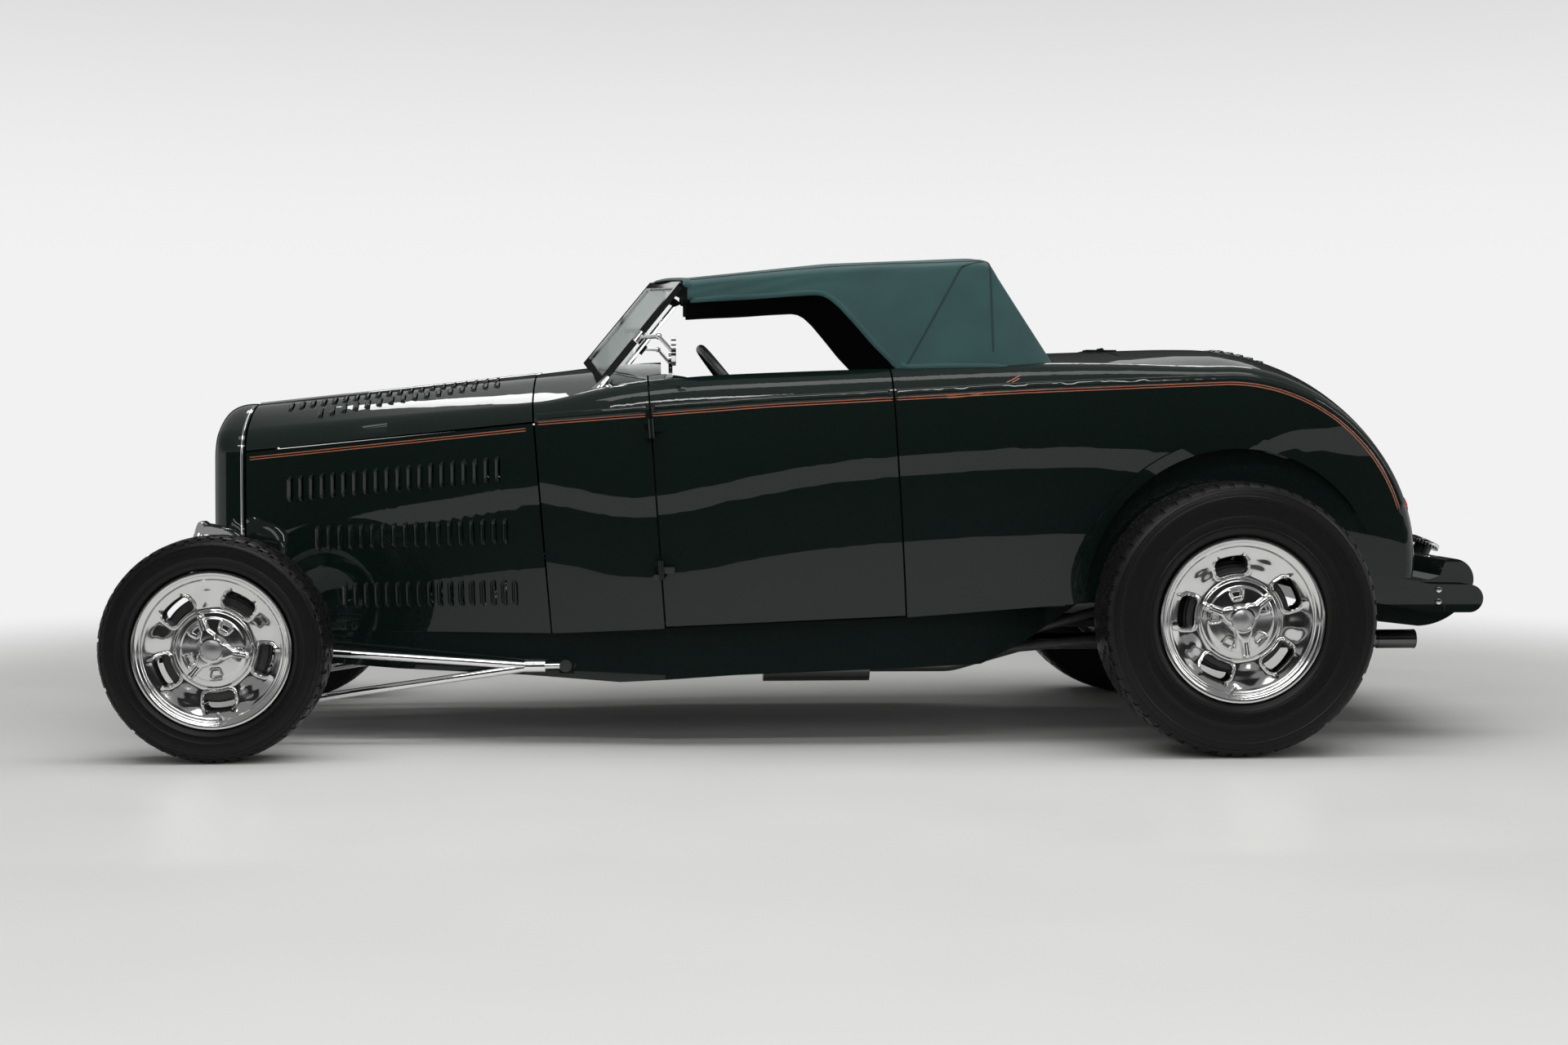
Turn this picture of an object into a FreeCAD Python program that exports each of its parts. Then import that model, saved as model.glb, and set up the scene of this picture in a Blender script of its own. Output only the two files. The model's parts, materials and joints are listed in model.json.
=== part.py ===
# Street rod roadster: fenderless body on a channel frame, dropped front axle on hairpin
# rods, live rear axle on ladder bars, louvered four-piece hood, vee windshield, fabric top.
# Axes: +X to the rear of the car, +Y to its right-hand side, +Z up, in millimetres.
# The origin is on the ground at the middle of the overall length.
import FreeCAD, Part
import Sketcher
import math
import os
from types import SimpleNamespace
from FreeCAD import Vector, Rotation, Placement

os.makedirs("parts", exist_ok=True)
doc = FreeCAD.newDocument("roadster")
sheet = doc.addObject("Spreadsheet::Sheet", "sizes")

# ---------------------------------------------------------------- driving dimensions
driving = [
    ("wheelbase", 2692, "front axle to rear axle"),
    ("rear_overhang", 760, "rear axle to the end of the frame horns"),
    ("front_tyre_dia", 592, "front tyre, standing"),
    ("front_tyre_width", 184, "front tyre section"),
    ("front_rim_dia", 415, "front rim over its flanges"),
    ("front_track", 1420, "between front tyre centres"),
    ("rear_tyre_dia", 730, "rear tyre, standing"),
    ("rear_tyre_width", 224, "rear tyre section"),
    ("rear_rim_dia", 441, "rear rim over its flanges"),
    ("rear_track", 1480, "between rear tyre centres"),
    ("seat_gap", 0.3, "gap between parts that seat on each other"),
    ("panel_gap", 5, "shut line between body panels"),
    ("wall", 50, "body side wall with its inner structure"),
    ("roof_wall", 30, "cowl and deck thickness"),
    ("hood_skin", 6, "hood panel thickness"),
    ("tail_radius", 626, "tail roll from axis to crown"),
    ("tail_axis_rise", 475, "height of the tail roll's axis"),
    ("arch_radius", 410, "rear wheel opening"),
    ("kingpin_span", 1184, "between the kingpin axes"),
    ("axle_drop", 109, "spindle line above the axle beam"),
    ("steer_arm", 130, "kingpin to tie rod ball, along the car"),
    ("rail_width", 45, "frame rail"),
    ("hub_bore", 60, "wheel bore on its spindle"),
    ("spindle_clear", 0.05, "running clearance of a spindle, radial"),
    ("tyre_wheel_gap", 0.3, "tyre bead to rim"),
    ("cloth", 12, "top fabric with its padding"),
    ("steering_wheel_dia", 380, "over the rim"),
    ("column_angle", 38, "steering column above level, degrees"),
    ("tip_dia", 54, "exhaust tip"),
    ("tip_bore", 46, "exhaust tip inside"),
    ("spreader_dia", 30, "spreader bar tube"),
    ("glass_thickness", 5, "windshield pane"),
]
for row, (alias, value, note) in enumerate(driving, 1):
    sheet.set("A%d" % row, note)
    sheet.set("B%d" % row, str(value))
    sheet.setAlias("B%d" % row, alias)
doc.recompute()
dim = SimpleNamespace(**{alias: float(sheet.get(alias)) for alias, value, note in driving})

front_x = -(dim.wheelbase + dim.rear_overhang - dim.front_tyre_dia / 2) / 2
rear_x = front_x + dim.wheelbase
front_z = dim.front_tyre_dia / 2
rear_z = dim.rear_tyre_dia / 2
sides = (("left", -1), ("right", 1))
kept = []                                   # every sub-part that gets a file


def ahead(x):
    """A place given as distance behind the front axle."""
    return front_x + x


def astern(x):
    """A place given as distance behind the rear axle."""
    return rear_x + x


# ---------------------------------------------------------------- small tools
def keep(item, label):
    item.Label = label
    kept.append(item)
    return item


def feature(label, shape):
    """A sub-part whose shape is worked out here."""
    item = doc.addObject("Part::Feature", label)
    item.Shape = shape.removeSplitter() if len(shape.Solids) == 1 else shape
    return keep(item, label)


def run(points, to_vector):
    """Closed wire through corners; a corner given as ("arc", mid, end) is a three-point arc."""
    edges = []
    start = points[0]
    for item in list(points[1:]) + [points[0]]:
        if item[0] == "arc":
            edges.append(Part.Arc(to_vector(*start), to_vector(*item[1]), to_vector(*item[2])).toShape())
            start = item[2]
        elif to_vector(*start).distanceToPoint(to_vector(*item)) > 1e-6:
            edges.append(Part.makeLine(to_vector(*start), to_vector(*item)))
            start = item
    return Part.Wire(edges)


def side_solid(points, y_low, y_high):
    """A side-view outline (x, z) carried across the car from y_low to y_high."""
    wire = run(points, lambda x, z: Vector(x, y_low, z))
    return Part.Face(wire).extrude(Vector(0, y_high - y_low, 0))


def plan_solid(points, z_low, z_high):
    """A plan outline (x, y) carried up from z_low to z_high."""
    wire = run(points, lambda x, y: Vector(x, y, z_low))
    return Part.Face(wire).extrude(Vector(0, 0, z_high - z_low))


def front_solid(points, x_low, x_high):
    """A front-view outline (y, z) carried along the car."""
    wire = run(points, lambda y, z: Vector(x_low, y, z))
    return Part.Face(wire).extrude(Vector(x_high - x_low, 0, 0))


def rod(start, end, radius):
    start, end = Vector(*start), Vector(*end)
    return Part.makeCylinder(radius, (end - start).Length, start, end - start)


def tube_run(points, radius, bend):
    """A round bar along straight runs joined by tangent arcs of one bend radius."""
    points = [Vector(*p) for p in points]
    edges = []
    start = points[0]
    for before, corner, after in zip(points, points[1:], points[2:]):
        to_before = (before - corner).normalize()
        to_after = (after - corner).normalize()
        half = to_before.getAngle(to_after) / 2
        setback = bend / math.tan(half)
        a, b = corner + to_before * setback, corner + to_after * setback
        middle_way = (to_before + to_after).normalize()
        mid = corner + middle_way * (bend / math.sin(half) - bend)
        edges.append(Part.makeLine(start, a))
        edges.append(Part.Arc(a, mid, b).toShape())
        start = b
    edges.append(Part.makeLine(start, points[-1]))
    path = Part.Wire(edges)
    ring = Part.Wire(Part.makeCircle(radius, points[0], points[1] - points[0]))
    return path.makePipeShell([ring], True, False)


# ---------------------------------------------------------------- parametric bodies
def plane_of(body, role):
    return [item for item in body.Origin.OriginFeatures if item.Role == role][0]


def polygon_sketch(body, name, role, corners):
    """A closed outline whose corners are pinned by expressions of the sheet."""
    sketch = body.newObject("Sketcher::SketchObject", name)
    sketch.AttachmentSupport = [(plane_of(body, role), "")]
    sketch.MapMode = "FlatFace"
    count = len(corners)
    ring = [Vector(math.cos(2 * math.pi * i / count), math.sin(2 * math.pi * i / count), 0)
            for i in range(count)]
    for i in range(count):
        sketch.addGeometry(Part.LineSegment(ring[i], ring[(i + 1) % count]))
    for i in range(count):
        sketch.addConstraint(Sketcher.Constraint("Coincident", i, 2, (i + 1) % count, 1))
    for i, (across, up) in enumerate(corners):
        for kind, text in (("DistanceX", across), ("DistanceY", up)):
            index = sketch.addConstraint(Sketcher.Constraint(kind, -1, 1, i, 1, 1.0))
            sketch.setExpression("Constraints[%d]" % index, text)
    return sketch


def revolved(body, sketch, name):
    turn = body.newObject("PartDesign::Revolution", name)
    turn.Profile = sketch
    turn.ReferenceAxis = (sketch, ["V_Axis"])
    turn.Angle = 360
    return turn


def hub_place(x, y, z, side):
    return Placement(Vector(x, y, z), Rotation(Vector(0, 0, 1), 0 if side > 0 else 180))


# ---------------------------------------------------------------- wheels and tyres
# Each outline runs in (radius, across the tyre); the outboard side is positive.
def tyre(label, end, place):
    body = doc.addObject("PartDesign::Body", label)
    radius = "sizes.%s_tyre_dia / 2" % end
    half = "sizes.%s_tyre_width / 2" % end
    seat = "sizes.%s_rim_dia / 2 - 16 + sizes.tyre_wheel_gap" % end
    flange = "sizes.%s_rim_dia / 2 + sizes.tyre_wheel_gap" % end
    bead = "sizes.%s_tyre_width / 2 - 23 - sizes.tyre_wheel_gap" % end
    corners = [
        (seat, "-(%s)" % bead), (seat, bead), (flange + " + 2", bead),
        (flange + " + 22", half), (radius + " - 34", half + " - 1"), (radius + " - 3", half + " - 22"),
        (radius, half + " - 62"), (radius, "-(%s) + 62" % half), (radius + " - 3", "-(%s) + 22" % half),
        (radius + " - 34", "-(%s) + 1" % half), (flange + " + 22", "-(%s)" % half),
        (flange + " + 2", "-(%s)" % bead)]
    sketch = polygon_sketch(body, label + "_section", "XY_Plane", corners)
    turn = revolved(body, sketch, label + "_turned")
    doc.recompute()
    body.Placement = place
    return keep(body, label)


def turned_about_axle(shape, degrees):
    turned = shape.copy()
    turned.rotate(Vector(0, 0, 0), Vector(0, 1, 0), degrees)
    return turned


def kidney(r_in, r_out, half_angle, grow, y_low, y_high):
    """A bent, round-ended window about local +X, carried along the axle."""
    reach, depth, axis = 2 * r_out, y_high - y_low, Vector(0, 1, 0)
    across, along = reach * math.cos(half_angle), reach * math.sin(half_angle)
    foot = Vector(0, y_low, 0)
    band = Part.makeCylinder(r_out + grow, depth, foot, axis).cut(
        Part.makeCylinder(r_in - grow, depth, foot, axis))
    shape = band.common(side_solid([(0, 0), (across, -along), (reach, 0), (across, along)], y_low, y_high))
    middle, end_r = (r_in + r_out) / 2, (r_out - r_in) / 2 + grow
    across, along = middle * math.cos(half_angle), middle * math.sin(half_angle)
    ends = [Part.makeCylinder(end_r, depth, Vector(across, y_low, z), axis) for z in (-along, along)]
    return shape.fuse(ends)


# phases of the windows and of the spinner's arms, seen from the left, in degrees
wheel_turns = {"front": (-10, (-6, 113, 235)), "rear": (30, (40, 160, 281))}
window_count, window_lip, lip_height = 5, 6, 5


def spinner_arm(face, length):
    """A slotted arm of the hub cap, falling away from the middle along local +X."""
    plan = side_solid([(18, -14), (length - 6, -8), (length, 0), (length - 6, 8), (18, 14)],
                      face - 14, face + 30)
    fall = plan_solid([(0, face - 14), (length + 9, face - 14), (length + 9, face + 3), (20, face + 15),
                       (0, face + 15)], -40, 40)
    slot = side_solid([(46, -3.5), (length - 16, -3), (length - 16, 3), (46, 3.5)], face - 4, face + 30)
    slot = slot.common(plan_solid([(40, face + 8.5), (length, face + 1.5), (length, face + 30),
                                   (40, face + 30)], -40, 40))
    return plan.common(fall).cut(slot)


def rim(label, end, place):
    """A cast wheel: turned section, five lipped windows, stepped hub and slotted spinner."""
    body = doc.addObject("PartDesign::Body", label + "_casting")
    flange = "sizes.%s_rim_dia / 2" % end
    edge = "sizes.%s_tyre_width / 2 - 16" % end
    bore = "sizes.hub_bore / 2"
    corners = [
        (flange, edge + " - 7"), (flange, edge), (flange + " - 7", edge + " + 1"),
        (flange + " - 10", edge + " - 5"), (flange + " - 17", edge + " - 6"),
        (flange + " - 22", edge + " - 20"), (flange + " - 30", edge + " - 23"),
        (flange + " - 42", edge + " - 32"), ("104", edge + " - 37"), ("99", edge + " - 30"),
        ("88", edge + " - 28"), ("84", edge + " - 23"), ("40", edge + " - 19"),
        ("0", edge + " - 19"), ("0", edge + " - 52"), (bore, edge + " - 52"),
        (bore, edge + " - 108"), ("70", edge + " - 108"), ("76", edge + " - 56"),
        (flange + " - 40", edge + " - 49"), (flange + " - 26", edge + " - 62"),
        (flange + " - 26", "-(%s) + 26" % edge), (flange + " - 22", "-(%s) + 8" % edge),
        (flange + " - 7", "-(%s)" % edge), (flange, "-(%s)" % edge),
        (flange, "-(%s) + 7" % edge), (flange + " - 16", "-(%s) + 7" % edge),
        (flange + " - 16", edge + " - 7")]
    sketch = polygon_sketch(body, label + "_section", "XY_Plane", corners)
    revolved(body, sketch, label + "_turned")
    doc.recompute()
    body.Placement = place
    half_width = (dim.front_tyre_width if end == "front" else dim.rear_tyre_width) / 2
    radius = (dim.front_rim_dia if end == "front" else dim.rear_rim_dia) / 2
    face, r_out = half_width - 16, radius - 45
    r_in, half_angle = r_out - 40, math.radians(11)
    window_turn, arm_turns = wheel_turns[end]
    lip = kidney(r_in, r_out, half_angle, window_lip, face - 46, face - 34 + lip_height)
    window = kidney(r_in, r_out, half_angle, 0, face - 70, face + 5)
    lips, windows = [], []
    for index in range(window_count):
        turn = window_turn + 360.0 / window_count * index
        lips.append(turned_about_axle(lip, turn))
        windows.append(turned_about_axle(window, turn))
    cap = Part.makeCylinder(32, 26, Vector(0, face - 26, 0), Vector(0, 1, 0))
    cap = cap.makeFillet(5, [cap.Edges[0]]) if cap.Edges[0].BoundBox.YMin > face - 5 else cap.makeFillet(
        5, [cap.Edges[-1]])
    arms = [turned_about_axle(spinner_arm(face - 21, 96), turn) for turn in arm_turns]
    trim = doc.addObject("Part::Feature", label + "_trim")
    trim.Shape = Part.makeCompound([lips[0].fuse(lips[1:] + [cap] + arms)])
    trim.Placement = place
    opening = doc.addObject("Part::Feature", label + "_windows")
    opening.Shape = Part.makeCompound(windows)
    opening.Placement = place
    solid = doc.addObject("Part::Fuse", label + "_solid")
    solid.Base, solid.Tool = body, trim
    wheel = doc.addObject("Part::Cut", label)
    wheel.Base, wheel.Tool = solid, opening
    doc.recompute()
    return keep(wheel, label)


for end, axle_x, hub_z, track in (("front", front_x, front_z, dim.front_track),
                                  ("rear", rear_x, rear_z, dim.rear_track)):
    for side_name, side in sides:
        place = hub_place(axle_x, side * track / 2, hub_z, side)
        rim("%s_%s_rim" % (end, side_name), end, place)
        tyre("%s_%s_tyre" % (end, side_name), end, place)
print("wheels")

# ---------------------------------------------------------------- body surface
# Stations run along the floor line up to the tail roll, then round it.  One section holds
# the foot, belt and crown: (behind front axle, or None and the angle round the tail roll),
# half width and height at the foot, half width and height at the belt, crown height,
# lean of the side at the belt in degrees, crown radius, swell of the side.
roll_x = rear_x + 5
roll_z = dim.tail_axis_rise
belt_roll = roll_z + dim.tail_radius - 112
crown_roll = roll_z + dim.tail_radius
door_front = rear_x - 1517                   # shut lines at the sill and the cockpit edge
door_rear = rear_x - 892
door_front_top, door_rear_top, door_rear_foot = door_front - 47, door_rear - 18, door_rear + 30
cowl_front = ahead(835)
hood_front = (ahead(0), 0, 285, 306, 285, 804, 940, 8, 450, 6)
hood_rear = (cowl_front, 0, 492, 310, 530, 888, 1031, 8, 1400, 14)


def hood_station(x):
    """A section on the hood, whose surface is straight from the shell to the cowl."""
    share = (x - hood_front[0]) / (hood_rear[0] - hood_front[0])
    return tuple(a + (b - a) * share for a, b in zip(hood_front, hood_rear))


body_stations = [
    hood_station(ahead(780)), hood_station(ahead(860)),
    (door_front, 0, 582, 328, 614, 924, 1063, 6, 2600, 18),
    (ahead(1500), 0, 596, 342, 652, 939, 1070, 6, 3600, 21),
    (door_rear, 0, 600, 355, 668, 953, 1075, 6, 4500, 22),
    (rear_x - 442, 0, 598, 388, 666, 977, 1088, 8, 4500, 22),
    (rear_x - 60, 0, 600, 414, 652, belt_roll, crown_roll, 10, 3000, 18),
    (roll_x, 0, 600, 420, 650, belt_roll, crown_roll, 10, 3000, 18)]
tail_stations = [
    (roll_x, 0, 600, 420, 650, belt_roll, crown_roll, 10, 3000, 18),
    (roll_x, 5, 600, 430, 648, belt_roll, crown_roll, 10, 3000, 18),
    (roll_x, 30, 600, 500, 636, belt_roll, crown_roll, 10, 2500, 10),
    (roll_x, 60, 586, 500, 612, belt_roll, crown_roll, 10, 2200, 8),
    (roll_x, 92, 560, 500, 572, belt_roll, crown_roll, 10, 1900, 6)]


def section(station, side_in, top_in):
    """One closed section, drawn in by side_in at the sides and top_in at the crown."""
    x, turn, foot_y, foot_z, belt_y, belt_z, crown_z, lean, crown_r, swell = station
    foot_y, belt_y, crown_z = foot_y - side_in, belt_y - side_in, crown_z - top_in
    belt_z = belt_z - top_in * 0.4
    foot_z = foot_z - (10 if side_in else 0)
    turn, lean = math.radians(turn), math.radians(lean)

    def put(y, z):
        if turn == 0:
            return Vector(x, y, z)
        return Vector(x + (z - roll_z) * math.sin(turn), y, roll_z + (z - roll_z) * math.cos(turn))

    centre_z = crown_z - crown_r
    d_y, d_z = belt_y, belt_z - centre_z
    inward_y, inward_z = -math.cos(lean), -math.sin(lean)
    shoulder = (crown_r ** 2 - d_y ** 2 - d_z ** 2) / 2 / (d_y * inward_y + d_z * inward_z + crown_r)
    mid_y, mid_z = belt_y + shoulder * inward_y, belt_z + shoulder * inward_z
    out_y, out_z = mid_y / (crown_r - shoulder), (mid_z - centre_z) / (crown_r - shoulder)
    top_y, top_z = out_y * crown_r, centre_z + out_z * crown_r
    half_y, half_z = out_y - inward_y, out_z - inward_z
    reach = math.hypot(half_y, half_z)
    arc_y, arc_z = mid_y + shoulder * half_y / reach, mid_z + shoulder * half_z / reach
    side_y, side_z = (foot_y + belt_y) / 2 + swell, (foot_z + belt_z) / 2
    edges = [
        Part.makeLine(put(-foot_y, foot_z), put(foot_y, foot_z)),
        Part.Arc(put(foot_y, foot_z), put(side_y, side_z), put(belt_y, belt_z)).toShape(),
        Part.Arc(put(belt_y, belt_z), put(arc_y, arc_z), put(top_y, top_z)).toShape(),
        Part.Arc(put(top_y, top_z), put(0, crown_z), put(-top_y, top_z)).toShape(),
        Part.Arc(put(-top_y, top_z), put(-arc_y, arc_z), put(-belt_y, belt_z)).toShape(),
        Part.Arc(put(-belt_y, belt_z), put(-side_y, side_z), put(-foot_y, foot_z)).toShape()]
    return Part.Wire(edges)


def smooth_loft(table, side_in, top_in):
    wires = [section(station, side_in, top_in) for station in table]
    return Part.makeLoft(wires, True, False, False, 3)


body_outer = smooth_loft(body_stations, 0, 0)
body_inner = smooth_loft(body_stations, dim.wall, dim.roof_wall)
tail_outer = smooth_loft(tail_stations, 0, 0)
tail_inner = smooth_loft(tail_stations, dim.wall, dim.roof_wall)
hood_ends = (hood_station(ahead(0)), hood_station(ahead(900)))
hood_outer = smooth_loft(hood_ends, 0, 0)
hood_inner = smooth_loft(hood_ends, dim.hood_skin, dim.hood_skin)
print("body surface")

# ---------------------------------------------------------------- shut lines
gap = dim.panel_gap / 2
high, low, wide = 1500, 150, 900
seam_lean = 57 / 724                        # the hood's rear seam leans back towards the sill


def seam_x(z, offset):
    return ahead(808) + (1030 - z) * seam_lean + offset


def door_edge(x_top, x_foot, z, offset):
    """Door shut line, leaning back from the belt to the sill."""
    return x_foot + (x_top - x_foot) * (z - 330) / 690 + offset


def behind_seam(offset):
    return side_solid([(seam_x(low, offset), low), (seam_x(high, offset), high),
                       (astern(900), high), (astern(900), low)], -wide, wide)


def front_edge(z, offset):
    return door_edge(door_front_top, door_front, z, offset)


def rear_edge(z, offset):
    return door_edge(door_rear_top, door_rear_foot, z, offset)


def door_prism(side):
    """A door seen from the side, outboard of the cowl's rear edge."""
    outline = [(front_edge(low, gap), low), (rear_edge(low, -gap), low),
               (rear_edge(high, -gap), high), (front_edge(high, gap), high)]
    return side_solid(outline, side * 476, side * wide)


body_wall = body_outer.cut(body_inner)
tail_wall = tail_outer.cut(tail_inner)
hood_wall = hood_outer.cut(hood_inner)
bulkhead_x = rear_x - 457
floor_line = [(ahead(885), 310), (door_front, 328), (door_rear, 355), (bulkhead_x, 387)]
cockpit_rim = 60                             # the rolled edge round the cockpit
cockpit = plan_solid([(door_front - 10, -464), (door_front + 60, -620 + cockpit_rim),
                      (door_rear, -668 + cockpit_rim), (bulkhead_x - 60, -664 + cockpit_rim),
                      (bulkhead_x, -480), (bulkhead_x, 480), (bulkhead_x - 60, 664 - cockpit_rim),
                      (door_rear, 668 - cockpit_rim), (door_front + 60, 620 - cockpit_rim),
                      (door_front - 10, 464)], 860, high)
tub = body_wall.cut(cockpit).common(behind_seam(gap))

# ---------------------------------------------------------------- hood
def hood_belt(x, offset):
    return hood_station(x)[5] + offset


def hood_panel(upper):
    """A right-hand hood panel; the upper one stops short of the centre hinge rod."""
    front = ahead(dim.panel_gap + 1)
    if upper:
        outline = [(front, hood_belt(front, gap)), (seam_x(hood_belt(ahead(812), gap), -gap),
                   hood_belt(ahead(812), gap)), (seam_x(high, -gap), high), (front, high)]
    else:
        outline = [(front, low), (seam_x(low, -gap), low),
                   (seam_x(hood_belt(ahead(812), -gap), -gap), hood_belt(ahead(812), -gap)),
                   (front, hood_belt(front, -gap))]
    block = side_solid(outline, hinge_rod_r + 0.5, wide)
    return hood_wall.common(block)


def touch(skin, x, y, z, upward):
    """Where a line from inside a body, straight up or straight to the right, leaves its skin."""
    if upward:
        return Vector(x, y, skin.common(Part.makeLine(Vector(x, y, 600), Vector(x, y, high))).BoundBox.ZMax)
    return Vector(x, skin.common(Part.makeLine(Vector(x, 100, z), Vector(x, wide, z))).BoundBox.YMax, z)


def skin_place(skin, x, y, z, side, upward):
    """A place on the skin whose local X runs rearwards and local Z points outwards."""
    foot = touch(skin, x, y, z, upward)
    rear = touch(skin, x + 8, y, z, upward) - foot
    step = touch(skin, x, y + 8, z, True) - foot if upward else foot - touch(skin, x, y, z + 8, False)
    out = rear.cross(step).normalize()
    foot, rear, out = [Vector(v.x, side * v.y, v.z) for v in (foot, rear, out)]
    return Placement(foot, Rotation(rear, out.cross(rear), out, "ZXY"))


# A louver is pressed out of the panel and open to the rear.
louver_r, louver_rise, louver_length, louver_metal, louver_slot = 20, 7, 72, 1.2, 2


def louver_rod(radius, x_rear, z_low):
    """Front half of a round-ended rod that lies across the panel, its axis below the skin."""
    axis_z = louver_rise - louver_r
    half = louver_length / 2 - math.sqrt(louver_r ** 2 - axis_z ** 2)
    shape = Part.makeCylinder(radius, 2 * half, Vector(0, -half, axis_z), Vector(0, 1, 0))
    shape = shape.fuse([Part.makeSphere(radius, Vector(0, end * half, axis_z)) for end in (-1, 1)])
    return shape.common(Part.makeBox(40, 100, 40, Vector(x_rear - 40, -50, z_low)))


louver_hump = louver_rod(louver_r, 0, -3)
louver_hollow = louver_rod(louver_r - louver_metal, louver_slot, -20)


def louvered(panel, places):
    humps, hollows = [], []
    for place in places:
        for shape, group in ((louver_hump, humps), (louver_hollow, hollows)):
            copied = shape.copy()
            copied.Placement = place
            group.append(copied)
    return panel.fuse(humps).cut(hollows)


# Rows of louvers on the right-hand half: first and last one behind the front axle, how many,
# distance out, height; the height is found from the skin where the row lies on top.
top_rows = [((119, 160, 0), (703, 160, 0), 20), ((214, 250, 0), (709, 250, 0), 16)]
side_rows = [((138, 0, 700), (724, 0, 758), 20), ((218, 0, 564), (745, 0, 590), 18),
             ((294, 0, 406), (771, 0, 422), 17)]


def row_places(skin, rows, side, upward):
    places = []
    for first, last, count in rows:
        for index in range(count):
            x, y, z = [a + (b - a) * index / (count - 1) for a, b in zip(first, last)]
            places.append(skin_place(skin, ahead(x), y, z, side, upward))
    return places


hinge_rod_r = 6
hinge_sink = 2                               # hinge centre below the crown of the hood
crown_front = Vector(ahead(0), 0, hood_front[6] - hinge_sink)
crown_rear = Vector(cowl_front, 0, hood_rear[6] - hinge_sink)
for name, rows, upper in (("hood_top_", top_rows, True), ("hood_side_", side_rows, False)):
    pressed = louvered(hood_panel(upper), row_places(hood_outer, rows, 1, upper))
    feature(name + "right", pressed)
    feature(name + "left", pressed.mirror(Vector(0, 0, 0), Vector(0, 1, 0)))
hinge_way = (crown_rear - crown_front).normalize()
hinge_rod = rod(crown_front + hinge_way * dim.seat_gap, crown_front + hinge_way * 822, hinge_rod_r)
print("hood")

# ---------------------------------------------------------------- grille shell, grille, radiator
lip = 45                                     # width of the shell round the grille
nose = [(0, 0, 0), (-45, 3, 0), (-72, 16, 0), (-88, 42, 0)]   # behind the axle, drawn in


def nose_section(x, draw_in, foot_rise):
    first = list(hood_front)
    first[0] = ahead(x)
    first[2], first[4] = first[2] - draw_in, first[4] - draw_in
    first[3], first[6] = first[3] + foot_rise, first[6] - draw_in
    first[5] = first[5] - draw_in * 0.4
    return section(tuple(first), 0, 0)


shell_solid = Part.makeLoft([nose_section(x, draw, rise) for x, draw, rise in nose], True, False)


def mouth(x_low, x_high, shrink):
    """The grille opening's prism, smaller all round by shrink."""
    return Part.makeLoft([nose_section(x, lip + shrink, 40 + shrink) for x in (x_low, x_high)],
                         True, True)


feature("grille_shell", shell_solid.cut(mouth(-120, 30, 0)))
radiator = mouth(-52, -6, dim.seat_gap)
feature("radiator", radiator)
bar_pitch, bar_width = 17, 5
frame_ring = mouth(-84, -60, dim.seat_gap).cut(mouth(-90, -50, 8))
grille = frame_ring
bars = []
for index in range(-13, 14):
    bars.append(Part.makeBox(16, bar_width, 700,
                             Vector(ahead(-82), index * bar_pitch - bar_width / 2, 300)))
for height in (430, 560, 690, 810):
    bars.append(Part.makeBox(6, 520, 8, Vector(ahead(-68), -260, height)))
bars.append(Part.makeBox(22, 14, 700, Vector(ahead(-86), -7, 300)))
slats = bars[0].multiFuse(bars[1:]).common(mouth(-90, -50, 4))
feature("grille", frame_ring.fuse(slats))
print("nose")

# ---------------------------------------------------------------- cowl, doors, rear body, deck lid
def slab(x_low, x_high, z_low, z_high):
    return Part.makeBox(x_high - x_low, 2 * wide, z_high - z_low, Vector(x_low, -wide, z_low))


cowl_end = side_solid([(seam_x(low, 0), low), (front_edge(low, -gap), low),
                       (front_edge(high, -gap), high), (seam_x(high, 0), high)], -wide, wide)
cowl_lip = plan_solid([(door_front - 90, -471), (door_front - 40, -471), (door_front + 20, -456),
                       (door_front + 20, 456), (door_front - 40, 471), (door_front - 90, 471)], 860, high)
column_way = Vector(math.cos(math.radians(dim.column_angle)), 0, math.sin(math.radians(dim.column_angle)))
wheel_centre = Vector(ahead(1385), -368, 950)
column_low = wheel_centre - column_way * 1010
column_hole = rod(column_low, wheel_centre, 27)
firewall = body_inner.common(slab(ahead(878), ahead(888), 311, 1100))
dash = body_inner.common(slab(door_front - 75, door_front - 50, 842, 1100))
hinge_heights = (489, 870)                   # outside door hinges, on the shut line
hinge_y, knuckle, barrel_r, pin_r = 627, 10, 8, 4
hinge_lean = Vector(front_edge(1000, 0) - front_edge(0, 0), 0, 1000).normalize()


def hinge_rod_piece(side, z, low_end, high_end, radius):
    centre = Vector(front_edge(z, 0), side * hinge_y, z)
    return rod(centre + hinge_lean * low_end, centre + hinge_lean * high_end, radius)


def hinge_leaf(side, x_low, x_high, y_low, y_high, z_low, z_high):
    return Part.makeBox(x_high - x_low, y_high - y_low, z_high - z_low,
                        Vector(x_low, min(side * y_low, side * y_high), z_low))


def cowl_hinge_half(side, z):
    """Outer knuckles, pin and leaf of a door hinge, on the cowl."""
    x = front_edge(z, 0)
    pieces = [hinge_rod_piece(side, z, -26, 26, pin_r)]
    for low_end, high_end in ((-26, -knuckle - 0.5), (knuckle + 0.5, 26)):
        pieces.append(hinge_rod_piece(side, z, low_end, high_end, barrel_r))
        pieces.append(hinge_leaf(side, x - 20, x - gap, 580, 628, z + min(low_end, high_end) + 1,
                                 z + max(low_end, high_end) - 1))
    return pieces[0].fuse(pieces[1:])


cowl = tub.common(cowl_end.fuse(cowl_lip)).fuse([firewall, dash])
for side_name, side in sides:
    cowl = cowl.fuse([cowl_hinge_half(side, z) for z in hinge_heights])
tunnel_front, tunnel_rear = ahead(872), bulkhead_x + 8


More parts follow.
